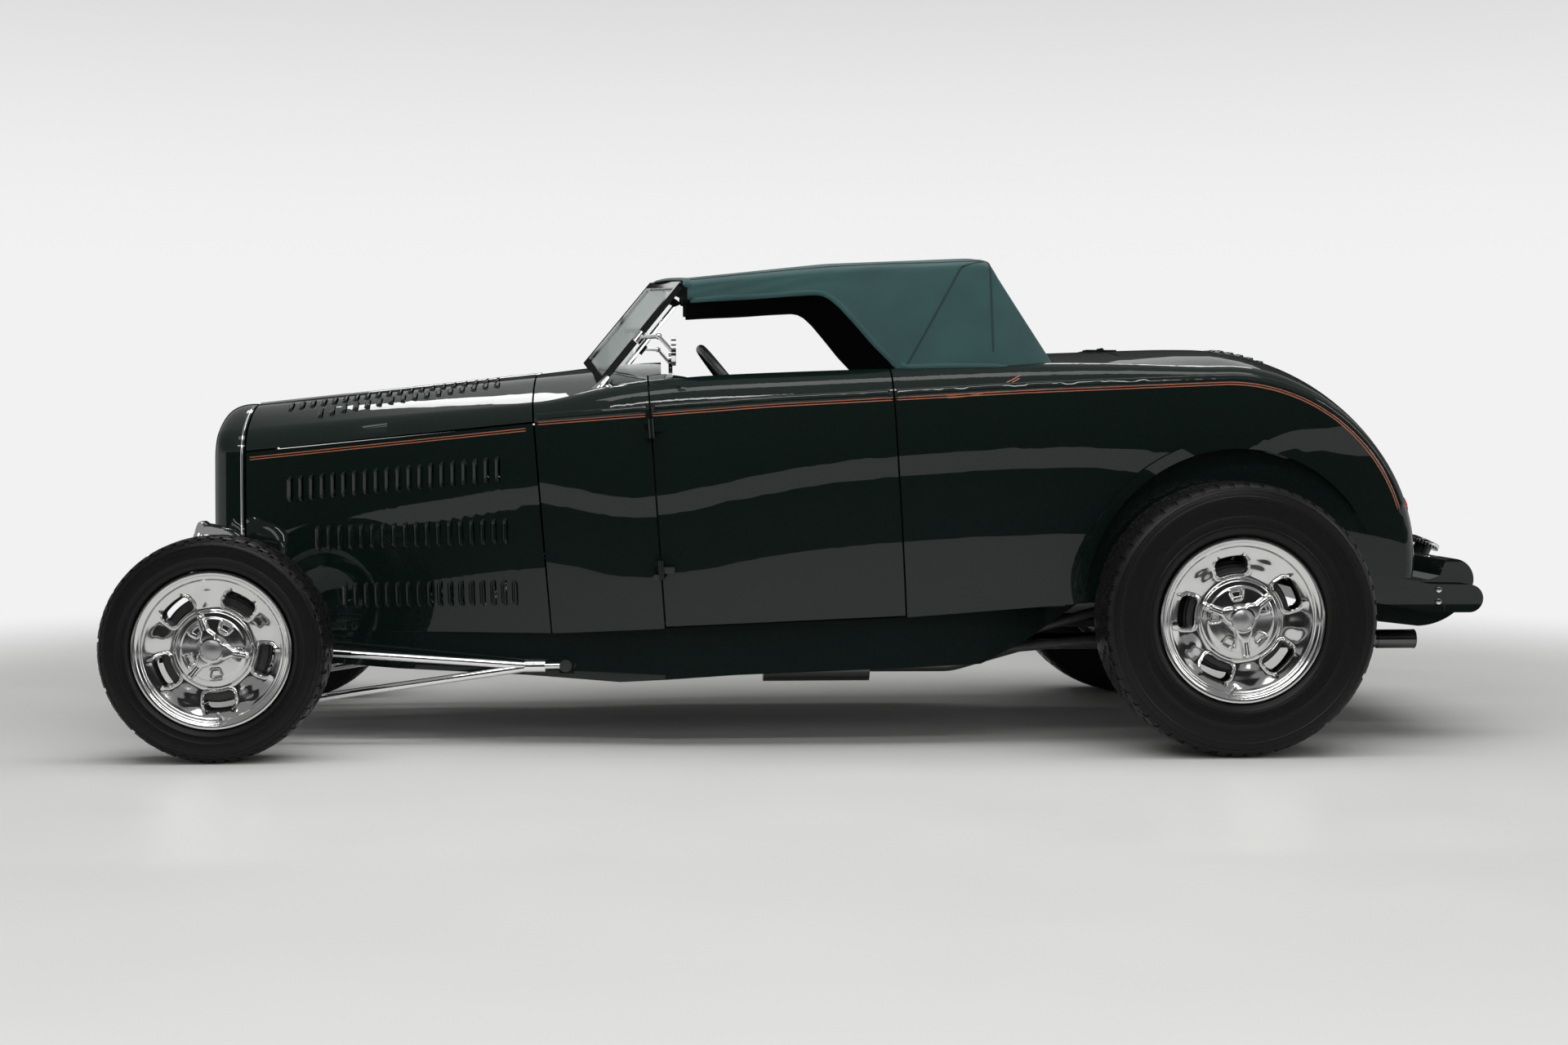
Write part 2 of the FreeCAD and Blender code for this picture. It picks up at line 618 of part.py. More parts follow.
def tunnel_section(x, half, top, draw_in):
    half, top, foot = half - draw_in, top - draw_in, 300
    spring = top - half * 0.6
    return run([(-half, foot), (half, foot), (half, spring), ("arc", (0, top), (-half, spring))],
               lambda y, z: Vector(x, y, z))


def tunnel(draw_in, overrun):
    places = [(tunnel_front - overrun, 190, 462), (ahead(1500), 112, 420), (tunnel_rear + overrun, 104, 432)]
    return Part.makeLoft([tunnel_section(x, half, top, draw_in) for x, half, top in places], True, True)


cowl = cowl.cut(tunnel(-dim.seat_gap, 5)).cut(column_hole).fuse(hinge_rod)
feature("cowl", cowl)



def sill_height(x):
    """Underside of a door, a shut line above the frame rail."""
    return 328 + dim.panel_gap + 1 + (x - door_front) * 27 / (door_rear - door_front)


def door_hinge_half(side, z):
    """Middle knuckle of an outside hinge and its strap on the door."""
    x = front_edge(z, 0)
    strap = hinge_leaf(side, x, x + 36, 590, 620, z - knuckle + 1, z + knuckle - 1)
    return hinge_rod_piece(side, z, -knuckle, knuckle, barrel_r).fuse(strap)


for side_name, side in sides:
    door = tub.common(door_prism(side))
    sill = side_solid([(door_front - 100, sill_height(door_front - 100)), (door_rear + 100,
                       sill_height(door_rear + 100)), (door_rear + 100, high), (door_front - 100, high)],
                      -wide, wide)
    door = door.common(sill)
    for z in hinge_heights:
        door = door.fuse(door_hinge_half(side, z))
        door = door.cut(hinge_rod_piece(side, z, -40, 40, pin_r + 0.08))
    feature("door_" + side_name, door)

rear_part = side_solid([(rear_edge(low, gap), low), (astern(900), low), (astern(900), high),
                        (rear_edge(high, gap), high)], -wide, wide)
trunk_floor = body_inner.common(slab(bulkhead_x, astern(900), 532, 540))
tail_floor = tail_inner.common(slab(roll_x, astern(900), 532, 540))
bulkhead = body_inner.common(slab(bulkhead_x, bulkhead_x + 8, 395, 1200))
tail_wall = tail_wall.cut(Part.makeBox(430, 1044.6, 231, Vector(roll_x - 5, -522.3, 300)))
tail_wall = tail_wall.cut(Part.makeBox(260, 1100, 160, Vector(roll_x + 420, -550, 300)))
rear_part = rear_part.cut(side_solid([(door_rear - 50, low)] + floor_line[2:] + [(bulkhead_x, low)],
                                     -wide, wide))
rear_body = tub.common(rear_part).fuse([tail_wall, trunk_floor, tail_floor, bulkhead])
arch_x, arch_z, arch_in = rear_x + 33, 405, 606
for side_name, side in sides:
    rear_body = rear_body.cut(Part.makeCylinder(dim.arch_radius, 200, Vector(arch_x, side * arch_in, arch_z),
                                                Vector(0, side, 0)))
bead_width, bead_rise, bead_round = 30, 9, 7
bead_skin = smooth_loft(body_stations, -bead_rise, 0).fuse(smooth_loft(tail_stations, -bead_rise, 0))
for side_name, side in sides:
    foot, way = Vector(arch_x, side * arch_in, arch_z), Vector(0, side, 0)
    ring = Part.makeCylinder(dim.arch_radius + bead_width, 200, foot, way).cut(
        Part.makeCylinder(dim.arch_radius, 200, foot, way))
    ring = ring.common(Part.makeBox(2000, 2 * wide, 900, Vector(arch_x - 1000, -wide, 430)))
    bead = bead_skin.common(ring)
    rear_body = rear_body.fuse(bead)


def lid_block(grow, depth):
    """The lid's opening, swept over the deck and round the tail."""
    outline = [(rear_x - 250 - grow, 0, 430), (roll_x, 0, 420), (roll_x, 30, 405),
               (roll_x, 55, 380), (roll_x, 76, 350)]
    wires = []
    for index, (x, turn, half) in enumerate(outline):
        turn = math.radians(turn) + (math.atan(grow / dim.tail_radius) if index == 4 else 0)
        ring = [(-half - grow, depth), (half + grow, depth), (half + grow, 800), (-half - grow, 800)]
        wires.append(run(ring, lambda y, r: Vector(x + r * math.sin(turn), y, roll_z + r * math.cos(turn))))
    return Part.makeLoft(wires, True, True)


def skin_height(x, y):
    """Height of the body's skin above a point."""
    probe = Part.makeLine(Vector(x, y, 600), Vector(x, y, high))
    return body_outer.common(probe).BoundBox.ZMax


lid_depth = dim.tail_radius - 110
deck_lid = rear_body.common(lid_block(-gap, lid_depth))
rear_body = rear_body.cut(lid_block(gap, lid_depth))
lid_hinge_x, lid_hinge_z = rear_x - 250, skin_height(rear_x - 250, 150) + 4


def lid_barrel(y_low, y_high, radius):
    return rod((lid_hinge_x, y_low, lid_hinge_z), (lid_hinge_x, y_high, lid_hinge_z), radius)


def lid_strap(reach, y_low, y_high):
    x = min(lid_hinge_x, lid_hinge_x + reach)
    return Part.makeBox(abs(reach), y_high - y_low, 16, Vector(x, y_low, lid_hinge_z - 15))


for side_name, side in sides:
    y = side * 150
    deck_lid = deck_lid.cut(lid_barrel(y - 31, y + 31, 8))
    deck_lid = deck_lid.fuse([lid_barrel(y - 12, y + 12, 6), lid_strap(46, y - 12, y + 12)])
    deck_lid = deck_lid.cut(lid_barrel(y - 31, y + 31, 3.08))
    rear_body = rear_body.cut(lid_barrel(y - 14, y + 14, 8))
    for y_low, y_high in ((y - 28, y - 12.5), (y + 12.5, y + 28)):
        rear_body = rear_body.fuse([lid_barrel(y_low, y_high, 6), lid_strap(-46, y_low, y_high)])
    rear_body = rear_body.fuse(lid_barrel(y - 28, y + 28, 3))
lid_rows = [((2792, y, 0), (2908, y, 0), 5) for y in (0, 88, 176)]
lid_places = row_places(tail_outer, lid_rows, 1, True) + row_places(tail_outer, lid_rows[1:], -1, True)
deck_lid = louvered(deck_lid, lid_places)
feature("deck_lid", deck_lid)
feature("rear_body", rear_body)
print("body panels")

# ---------------------------------------------------------------- frame
seat = dim.seat_gap
rail_top = [(ahead(-240), 258), (ahead(-90), 296), (ahead(0), 306)] + floor_line + [
    (rear_x - 362, 470), (rear_x - 242, 525), (rear_x + 258, 525), (rear_x + 458, 470),
    (rear_x + 608, 437), (rear_x + 720, 435)]
rail_foot = [(rear_x + 720, 357), (rear_x + 608, 357), (rear_x + 458, 385), (rear_x + 258, 445),
             (rear_x - 200, 445), (rear_x - 362, 400), (rear_x - 520, 290), (rear_x - 656, 226),
             (rear_x - 1328, 199), (rear_x - 1640, 178), (ahead(798), 193), (ahead(435), 205),
             (ahead(170), 222), (ahead(0), 254), (ahead(-240), 212)]
horn_end = (rear_x + dim.rear_overhang, 396)
rail_outer = [(ahead(-240), 292), (ahead(0), 300), (ahead(820), 478), (door_front, 560),
              (door_rear, 582), (rear_x - 640, 566), (rear_x - 470, 522), (rear_x + dim.rear_overhang, 522)]
rails = []
rail_side = [(x, z - seat) for x, z in rail_top] + [("arc", horn_end, rail_foot[0])] + rail_foot[1:]
for side_name, side in sides:
    inner_line = [(x, y - dim.rail_width) for x, y in reversed(rail_outer)]
    plan = [(x, side * y) for x, y in rail_outer + inner_line]
    rail = side_solid(rail_side, -wide, wide).common(plan_solid(plan, 0, 700))
    hairpin_boss = Part.makeBox(42, 22, 44, Vector(ahead(884), min(side * 481, side * 503), 200))
    ladder_boss = Part.makeBox(50, 62, 34, Vector(rear_x - 757, min(side * 469.3, side * 531.3), 228))
    rails.append(rail.fuse([hairpin_boss, ladder_boss]))
feature("frame_rails", Part.makeCompound(rails))


def rail_inside(x):
    """Half width between the rails at a station."""
    for (x0, y0), (x1, y1) in zip(rail_outer, rail_outer[1:]):
        if x0 <= x <= x1:
            return y0 + (y1 - y0) * (x - x0) / (x1 - x0) - dim.rail_width
    return rail_outer[-1][1] - dim.rail_width


def crossmember(x, length, z_low, z_high):
    """A flat member between the rails."""
    half = min(rail_inside(x), rail_inside(x + length)) - seat
    return Part.makeBox(length, 2 * half, z_high - z_low, Vector(x, -half, z_low))


def gearbox_solid(grow):
    bell = Part.makeCone(150 + grow, 95 + grow, 250, Vector(ahead(740), 0, 300), Vector(1, 0, 0))
    return bell.fuse(Part.makeCone(80 + grow, 52 + grow, 460, Vector(ahead(990), 0, 300), Vector(1, 0, 0)))


rear_spring_x = rear_x + 135
members = [crossmember(ahead(-35), 70, 258 + seat, 300),
           crossmember(ahead(1150), 60, 236, 256).fuse(
               Part.makeBox(60, 190, 32, Vector(ahead(1150), -95, 208))).cut(gearbox_solid(seat)),
           crossmember(rear_spring_x - 30, 60, 462, 512)]
feature("crossmembers", Part.makeCompound(members))
bars = doc.addObject("Part::Compound", "spreader_bars")
tubes = []
for name, x, z in (("front_tube", ahead(-205), 230), ("rear_tube", rear_x + 738, 372)):
    bar = doc.addObject("Part::Cylinder", name)
    bar.setExpression("Radius", "sizes.spreader_dia / 2")
    bar.Height = 2 * (rail_inside(x - dim.spreader_dia / 2) - seat)
    bar.Placement = Placement(Vector(x, -bar.Height.Value / 2, z), Rotation(Vector(1, 0, 0), -90))
    tubes.append(bar)
bars.Links = tubes
keep(bars, "spreader_bars")

# ---------------------------------------------------------------- engine, gearbox, driveshaft
engine = Part.makeBox(560, 420, 360, Vector(ahead(180), -210, 330))
engine = engine.fuse([Part.makeBox(520, 300, 130, Vector(ahead(200), -150, 200.5)),
                      Part.makeBox(360, 240, 70, Vector(ahead(280), -120, 690))])
feature("engine", engine.fuse(gearbox_solid(0)))
shaft = rod((ahead(1430), 0, 299), (rear_x - 130, 0, rear_z + 1), 38)
feature("driveshaft", shaft.common(slab(ahead(1450) + seat, rear_x - 150, 200, 500)))

# ---------------------------------------------------------------- exhausts
pipes = []
pipe_z, muffler_front, muffler_length = 205, ahead(1450), 300
for side_name, side in sides:
    front_run = tube_run([(ahead(520), side * 236.9, 420), (ahead(620), side * 262, 330),
                          (ahead(760), side * 290, 208), (muffler_front + 10, side * 330, pipe_z)], 27, 90)
    muffler_end = Vector(muffler_front, side * 330, pipe_z)
    muffler = Part.makeCylinder(49, muffler_length, muffler_end, Vector(1, 0, 0))
    tail_run = tube_run([(muffler_front + muffler_length - 10, side * 330, pipe_z),
                         (ahead(1980), side * 338, pipe_z), (ahead(2200), side * 350, 268),
                         (rear_x + 560, side * 350, 268)], 24, 150)
    tip = Part.makeCylinder(dim.tip_dia / 2, 110, Vector(rear_x + 513, side * 350, 268), Vector(1, 0, 0))
    bore = Part.makeCylinder(dim.tip_bore / 2, 105, Vector(rear_x + 520, side * 350, 268), Vector(1, 0, 0))
    pipes.append(front_run.fuse([muffler, tail_run, tip]).cut(bore))
feature("exhausts", Part.makeCompound(pipes))
print("running gear")

# ---------------------------------------------------------------- axles
half_pin = dim.kingpin_span / 2
beam_z = front_z - dim.axle_drop
boss_low, boss_high, boss_r = front_z - 34, front_z + 30, 24
beam = [(-half_pin + 150, beam_z - 26), (half_pin - 150, beam_z - 26),
        ("arc", (half_pin - 90, beam_z + 8), (half_pin - 34, boss_low)), (half_pin, boss_low),
        (half_pin, boss_high), (half_pin - 40, boss_high),
        ("arc", (half_pin - 112, beam_z + 60), (half_pin - 168, beam_z + 28)),
        (-half_pin + 168, beam_z + 28), ("arc", (-half_pin + 112, beam_z + 60), (-half_pin + 40, boss_high)),
        (-half_pin, boss_high), (-half_pin, boss_low), (-half_pin + 34, boss_low),
        ("arc", (-half_pin + 90, beam_z + 8), (-half_pin + 150, beam_z - 26))]
axle = front_solid(beam, front_x - boss_r, front_x + boss_r)
pocket = [(-half_pin + 190, beam_z - 14), (half_pin - 190, beam_z - 14),
          (half_pin - 205, beam_z + 16), (-half_pin + 205, beam_z + 16)]
for face in (-boss_r, boss_r - 14):
    axle = axle.cut(front_solid(pocket, front_x + face, front_x + face + 14))
hairpin_front, hairpin_y = ahead(30), 432
leg_high, leg_low = 270, 103
spring_half, spring_width = 400, 45
perch_x = spring_width / 2 + seat
extras = []
for side_name, side in sides:
    extras.append(Part.makeCylinder(boss_r, boss_high - boss_low, Vector(front_x, side * half_pin, boss_low)))
    batwing = [(ahead(-14), leg_low + 40), (hairpin_front - 6, leg_low - 14),
               (hairpin_front + 16, leg_low - 8), (hairpin_front + 4, beam_z),
               (hairpin_front + 16, leg_high + 8),
               (hairpin_front - 6, leg_high + 14), (ahead(-14), leg_high - 44)]
    near = side * (hairpin_y - 20)
    extras.append(side_solid(batwing, near, near + side * (8 - seat)))
    for x in (-perch_x - 6, perch_x):
        extras.append(Part.makeBox(6, 36, 60, Vector(front_x + x, side * spring_half - 18, beam_z - 5)))
axle = axle.fuse(extras)
for side_name, side in sides:
    pin_low = Vector(front_x, side * half_pin, front_z - 90)
    axle = axle.cut(Part.makeCylinder(11 + dim.spindle_clear, 200, pin_low))
feature("front_axle", axle)


def leaf_spring(x, half, top, rise, leaves, thickness):
    """Transverse spring: a stack of bowed leaves, each shorter than the one above it."""
    stack = []
    for index in range(leaves):
        reach = half * (1 - index / (leaves + 1.0))
        crest = top - index * thickness
        z_end = crest - rise * (reach / half) ** 2
        outline = [(-reach, z_end), ("arc", (0, crest), (reach, z_end)), (reach, z_end - thickness),
                   ("arc", (0, crest - thickness), (-reach, z_end - thickness))]
        stack.append(front_solid(outline, x - spring_width / 2, x + spring_width / 2))
    for side in (-1, 1):
        stack.append(Part.makeCylinder(10, spring_width, Vector(x - spring_width / 2, side * half,
                                                               top - rise - 6), Vector(1, 0, 0)))
    stack.append(Part.makeBox(spring_width, 70, leaves * thickness + 4,
                              Vector(x - spring_width / 2, -35, top - leaves * thickness - 4)))
    return stack[0].fuse(stack[1:])


feature("leaf_springs", Part.makeCompound([leaf_spring(front_x, spring_half, 258, 22, 4, 7),
                                           leaf_spring(rear_spring_x, 430, 462 - seat, 30, 5, 7)]))

hub_r = dim.hub_bore / 2 - dim.spindle_clear
arm_x, rod_z = dim.steer_arm, 196
for side_name, side in sides:
    def out(distance):
        return side * (half_pin + distance)

    def block(x_low, x_high, from_pin, to_pin, z_low, z_high):
        return Part.makeBox(x_high - x_low, to_pin - from_pin, z_high - z_low,
                            Vector(front_x + x_low, min(out(from_pin), out(to_pin)), z_low))

    lug = 20
    pieces = [Part.makeCylinder(boss_r, lug, Vector(front_x, out(0), boss_high + 0.5)),
              Part.makeCylinder(boss_r, lug, Vector(front_x, out(0), boss_low - 0.5 - lug)),
              Part.makeCylinder(11, boss_high - boss_low + 2 * lug, Vector(front_x, out(0), boss_low - lug)),
              block(-20, 20, 10, boss_r + 20, boss_high + 0.5, boss_high + 0.5 + lug),
              block(-20, 20, 10, boss_r + 20, boss_low - 0.5 - lug, boss_low - 0.5),
              block(-20, 20, boss_r + 0.6, boss_r + 20, boss_low - 0.5 - lug, boss_high + 0.5 + lug)]
    spindle_end = dim.front_track / 2 + dim.front_tyre_width / 2 - 16 - 53
    pieces.append(rod((front_x, out(boss_r + 10), front_z), (front_x, side * spindle_end, front_z), hub_r))
    drum_out = dim.front_track / 2 + dim.front_tyre_width / 2 - 16 - 108 - 6
    pieces.append(rod((front_x, side * (drum_out - 32), front_z), (front_x, side * drum_out, front_z), 140))
    pieces.append(rod((front_x, out(0), boss_low - 0.5 - lug / 2),
                      (front_x + arm_x, out(0), boss_low - 0.5 - lug / 2), 10))
    pieces.append(Part.makeCylinder(14, lug, Vector(front_x + arm_x, out(0), boss_low - 0.5 - lug)))
    stud_low = Vector(front_x + arm_x, out(0), rod_z - 16)
    pieces.append(Part.makeCylinder(6, boss_low - lug - rod_z + 16, stud_low))
    feature("knuckle_" + side_name, pieces[0].fuse(pieces[1:]))

tie = rod((front_x + arm_x, -half_pin, rod_z), (front_x + arm_x, half_pin, rod_z), 11)
for side, hole in ((-1, 6 + dim.spindle_clear), (1, 6.6)):
    centre = Vector(front_x + arm_x, side * half_pin, rod_z - 13)
    tie = tie.fuse(Part.makeCylinder(15, 26, centre))
    tie = tie.cut(Part.makeCylinder(hole, 60, centre - Vector(0, 0, 10)))
feature("tie_rod", tie)

hairpin_joint, hairpin_end = ahead(822), ahead(903)
end_y = 513
hairpins = []
for side_name, side in sides:
    share = (hairpin_joint - hairpin_front) / (hairpin_end - hairpin_front)
    joint_y = hairpin_y + (end_y - hairpin_y) * share
    joint = (hairpin_joint, side * joint_y, 220)
    pieces = [rod((hairpin_end, side * (end_y - 9.7), 222), (hairpin_end, side * (end_y + 9.7), 222), 17),
              rod(joint, (hairpin_end, side * end_y, 222), 8),
              rod((hairpin_joint - 30, side * (joint_y - 2.8), 220),
                  (hairpin_joint + 26, side * joint_y, 220.5), 17)]
    for leg in (leg_high, leg_low):
        foot = (hairpin_front, side * hairpin_y, leg)
        pieces.append(rod(foot, joint, 11))
        pieces.append(rod((hairpin_front, side * (hairpin_y - 11.7), leg),
                          (hairpin_front, side * (hairpin_y + 11.7), leg), 14))
    hairpins.append(pieces[0].fuse(pieces[1:]))
feature("hairpins", Part.makeCompound(hairpins))

# rear axle: banjo housing, tubes, drums, spring perches and ladder bar plates
bar_y, bar_high, bar_low = 455, 430, 300
pieces = [rod((rear_x - 92, 0, rear_z), (rear_x + 92, 0, rear_z), 135),
          rod((rear_x - 150 + seat, 0, rear_z), (rear_x - 80, 0, rear_z), 48),
          rod((rear_x, -660, rear_z), (rear_x, 660, rear_z), 40)]
for side_name, side in sides:
    pieces.append(Part.makeCone(90, 44, 130, Vector(rear_x, side * 90, rear_z), Vector(0, side, 0)))
    half = dim.rear_track / 2 + dim.rear_tyre_width / 2 - 16
    pieces.append(rod((rear_x, side * 600, rear_z), (rear_x, side * (half - 53), rear_z), hub_r))
    pieces.append(rod((rear_x, side * (half - 176), rear_z), (rear_x, side * (half - 114), rear_z), 150))
    for x in (-perch_x - 6, perch_x):
        pieces.append(Part.makeBox(6, 36, 70, Vector(rear_spring_x + x, side * 430 - 18, rear_z + 20)))
    pieces.append(Part.makeBox(rear_spring_x + perch_x + 6 - rear_x, 36, 24,
                               Vector(rear_x, side * 430 - 18, rear_z - 2)))
    plate = [(rear_x - 82, bar_low - 18), (rear_x - 45, bar_low - 18), (rear_x + 44, rear_z - 30),
             (rear_x + 44, rear_z + 30), (rear_x - 40, bar_high + 15), (rear_x - 82, bar_high + 15)]
    near = side * (bar_y - 14 - seat)
    pieces.append(side_solid(plate, near, near - side * 8))
feature("rear_axle", pieces[0].fuse(pieces[1:]))
ladder_bars = []
for side_name, side in sides:
    nose_end = (rear_x - 732, side * bar_y, 245)
    pieces = [rod((nose_end[0], side * (bar_y - 14), 245), (nose_end[0], side * (bar_y + 14), 245), 18)]
    for z in (bar_high, bar_low):
        pieces.append(rod(nose_end, (rear_x - 62, side * bar_y, z), 14))
        pieces.append(rod((rear_x - 62, side * (bar_y - 14), z), (rear_x - 62, side * (bar_y + 14), z), 18))
    pieces.append(rod((rear_x - 300, side * bar_y, 281), (rear_x - 300, side * bar_y, 353), 9))
    ladder_bars.append(pieces[0].fuse(pieces[1:]))
feature("ladder_bars", Part.makeCompound(ladder_bars))
print("axles")

# ---------------------------------------------------------------- floor and seats
floor_low = [(x, z) for x, z in floor_line]
floor_low[0] = (ahead(889), 310.2)
floor_low[-1] = (bulkhead_x - seat, 386.8)
floor_side = floor_low + [(x, z + 8) for x, z in reversed(floor_low)]
floor_plan = [(ahead(889), 425), (door_front, 528), (door_rear, 540), (bulkhead_x - seat, 522),
              (bulkhead_x - seat, -522), (door_rear, -540), (door_front, -528), (ahead(889), -425)]
plate = side_solid(floor_side, -wide, wide).common(plan_solid(floor_plan, 0, 700))
hump = tunnel(0, 0).common(slab(ahead(889), bulkhead_x - seat, 312, 600))
seat_x, seat_foot = ahead(1650), 436
riser_z = 352
risers = [Part.makeBox(430, 16, seat_foot - riser_z, Vector(seat_x + 30, side * 440 - 8, riser_z))
          for side_name, side in sides]
under_tunnel = tunnel(6, 20)
floor = plate.fuse([hump] + risers).cut(under_tunnel)
feature("floor_pan", floor)
cushion = side_solid([(seat_x, seat_foot + seat), (seat_x + 480, seat_foot + seat),
                      (seat_x + 480, 580), (seat_x + 40, 592), (seat_x, 560)], -520, 520)
feature("seat_cushion", cushion)
back = side_solid([(seat_x + 380, 583), (seat_x + 480, 580 + seat), (seat_x + 500, 580 + seat),
                   (bulkhead_x - 40, 930), (bulkhead_x - 70, 965), (seat_x + 450, 955)], -525, 525)
feature("seat_back", back)

# ---------------------------------------------------------------- steering column and wheel
tilt = Rotation(Vector(0, 1, 0), 90 - dim.column_angle)
column = rod(column_low, wheel_centre - column_way * 30, 19)
box_side = rail_inside(column_low.x - 70) - seat
box = Part.makeBox(150, box_side - 306, 130, Vector(column_low.x - 70, -box_side, column_low.z - 60))
feature("steering_column", column.fuse(box))
ring = doc.addObject("Part::Torus", "wheel_ring")
ring.setExpression("Radius1", "sizes.steering_wheel_dia / 2 - 13")
ring.Radius2 = 13
hub = doc.addObject("Part::Cylinder", "wheel_hub")
hub.Radius, hub.Height = 32, 34
hub.Placement.Base = Vector(0, 0, -29.5)
spokes = []
for index in range(4):
    spoke = doc.addObject("Part::Box", "wheel_spoke_%d" % index)
    spoke.Width, spoke.Height = 22, 6
    spoke.setExpression("Length", "sizes.steering_wheel_dia / 2 - 20")
    turn = Rotation(Vector(0, 0, 1), 45 + 90 * index)
    spoke.Placement = Placement(turn.multVec(Vector(0, -11, -6)), turn)
    spokes.append(spoke)
steering_wheel = doc.addObject("Part::MultiFuse", "steering_wheel")
steering_wheel.Shapes = [ring, hub] + spokes
steering_wheel.Placement = Placement(wheel_centre, tilt)
keep(steering_wheel, "steering_wheel")
print("cabin")

# ---------------------------------------------------------------- windshield
# Each pane is a plane through the centre bar and its side post; P runs base centre,
# base side, top side, top centre.
post_foot, post_top = Vector(ahead(944), 0, 1056), Vector(ahead(1140), 0, 1292)
side_foot, side_top = Vector(ahead(1001), 485, 986), Vector(ahead(1224), 464, 1267)
post_width, bar_depth = 22, 16
mirror_up, mirror_elbow, mirror_head = 170, (ahead(1158), 550, 1119), (ahead(1196), 608, 1076)


def pane_corners(side):
    corners = [Vector(p.x, p.y * side, p.z) for p in (post_foot, side_foot, side_top, post_top)]
    normal = (corners[3] - corners[0]).cross(corners[2] - corners[3]).normalize()
    if normal.x > 0:
        normal = normal * -1
    drift = (corners[1] - corners[0]).dot(normal)
    corners[1] = corners[1] - normal * drift
    return corners, normal


def inset_polygon(corners, normal, distance):
    """Corners of a convex outline drawn in by distance."""
    centre = sum(corners[1:], corners[0]) * (1.0 / len(corners))
    lines = []
    for a, b in zip(corners, corners[1:] + corners[:1]):
        inward = normal.cross(b - a).normalize()
        if inward.dot(centre - a) < 0:
            inward = inward * -1
        lines.append((a + inward * distance, (b - a).normalize()))
    moved = []
    for (p, u), (q, v) in zip(lines[-1:] + lines[:-1], lines):
        across = u.cross(v)
        moved.append(p + u * ((q - p).cross(v).dot(across) / across.dot(across)))
    return moved


def panel(corners, normal, low, high):
    ring = [c + normal * low for c in corners]
    return Part.Face(Part.makePolygon(ring + ring[:1])).extrude(normal * (high - low))


skin_block = body_outer.common(slab(ahead(900), ahead(1300), 800, 1300))
skin_block.translate(Vector(0, 0, seat))
frames, panes = [], []
for side_name, side in sides:
    corners, normal = pane_corners(side)
    hole = inset_polygon(corners, normal, post_width)
    ring = panel(corners, normal, -bar_depth / 2, bar_depth / 2).cut(
        panel(hole, normal, -bar_depth, bar_depth))
    groove = inset_polygon(corners, normal, post_width - 8)
    half_glass = dim.glass_thickness / 2
    ring = ring.cut(panel(groove, normal, -half_glass - seat, half_glass + seat))
    frames.append(ring)
    glass_edge = inset_polygon(corners, normal, post_width - 8 + seat)
    panes.append(panel(glass_edge, normal, -half_glass, half_glass).cut(skin_block))
    foot = Vector(side_foot.x, side * side_foot.y, side_foot.z)
    way = (Vector(side_top.x, side * side_top.y, side_top.z) - foot).normalize()
    frames.append(Part.makeCone(24, 11, 70, foot - way * 42 + Vector(6, side * 2, 0), way))
    clamp = foot + way * mirror_up
    elbow, head = [Vector(x, side * y, z) for x, y, z in (mirror_elbow, mirror_head)]
    frames.append(rod(clamp - way * 16, clamp + way * 16, 12.5))
    frames += [rod(clamp, elbow, 6), Part.makeSphere(9, elbow), rod(elbow, head, 5),
               rod(head - Vector(4, 0, 0), head + Vector(8, 0, 0), 38)]
frame_shape = frames[0].fuse(frames[1:])
frame_shape = frame_shape.cut(skin_block)
feature("windshield_frame", frame_shape)
feature("windshield_glass", Part.makeCompound(panes))

# ---------------------------------------------------------------- fabric top
top_stations = [
    (ahead(1130), 0, 545, 960, 486, 1248, 1290, 8, 3600, 4),
    (ahead(1632), 0, 610, 960, 530, 1296, 1345, 8, 3800, 6),
    (ahead(2058), 0, 636, 960, 548, 1312, 1363, 8, 3800, 8)]
back_stations = [top_stations[2], (ahead(2222), 0, 632, 960, 566, 1056, 1104, 8, 6000, 6)]


def top_lofts(draw_in):
    """The roof and the back curtain, both drawn in by draw_in."""
    roof = Part.makeLoft([section(s, draw_in, draw_in) for s in top_stations], True, False)
    low_end = (back_stations[1][0] - draw_in,) + back_stations[1][1:]
    curtain = Part.makeLoft([section(s, draw_in, draw_in) for s in (back_stations[0], low_end)], True, True)
    return roof, curtain


side_opening = side_solid([(ahead(1000), 900), (ahead(1000), 1216), (ahead(1251), 1218), (ahead(1584), 1238),
                           ("arc", (ahead(1690), 1168), (ahead(1800), 1000)), (ahead(1800), 900)],
                          -wide, wide)
nose_cut = plan_solid([(ahead(1000), -wide), (ahead(1300), -wide), (ahead(1158), 0), (ahead(1300), wide),
                       (ahead(1000), wide)], 900, 1400)
rear_window = side_solid([(ahead(2060), 1170), (ahead(2240), 1170), (ahead(2240), 1300), (ahead(2060), 1300)],
                         -230, 230)
body_block = body_outer.common(slab(ahead(1100), ahead(2400), 700, 1400))
body_block.translate(Vector(0, 0, seat))
roof, curtain = top_lofts(0)
roof_inside, curtain_inside = top_lofts(dim.cloth)
fabric = roof.fuse(curtain).cut(roof_inside).cut(curtain_inside)
fabric = fabric.cut(side_opening).cut(nose_cut).cut(rear_window)
fabric = fabric.cut(body_block)
fabric_solid = max(fabric.Solids, key=lambda s: s.Volume)
feature("soft_top", fabric_solid)

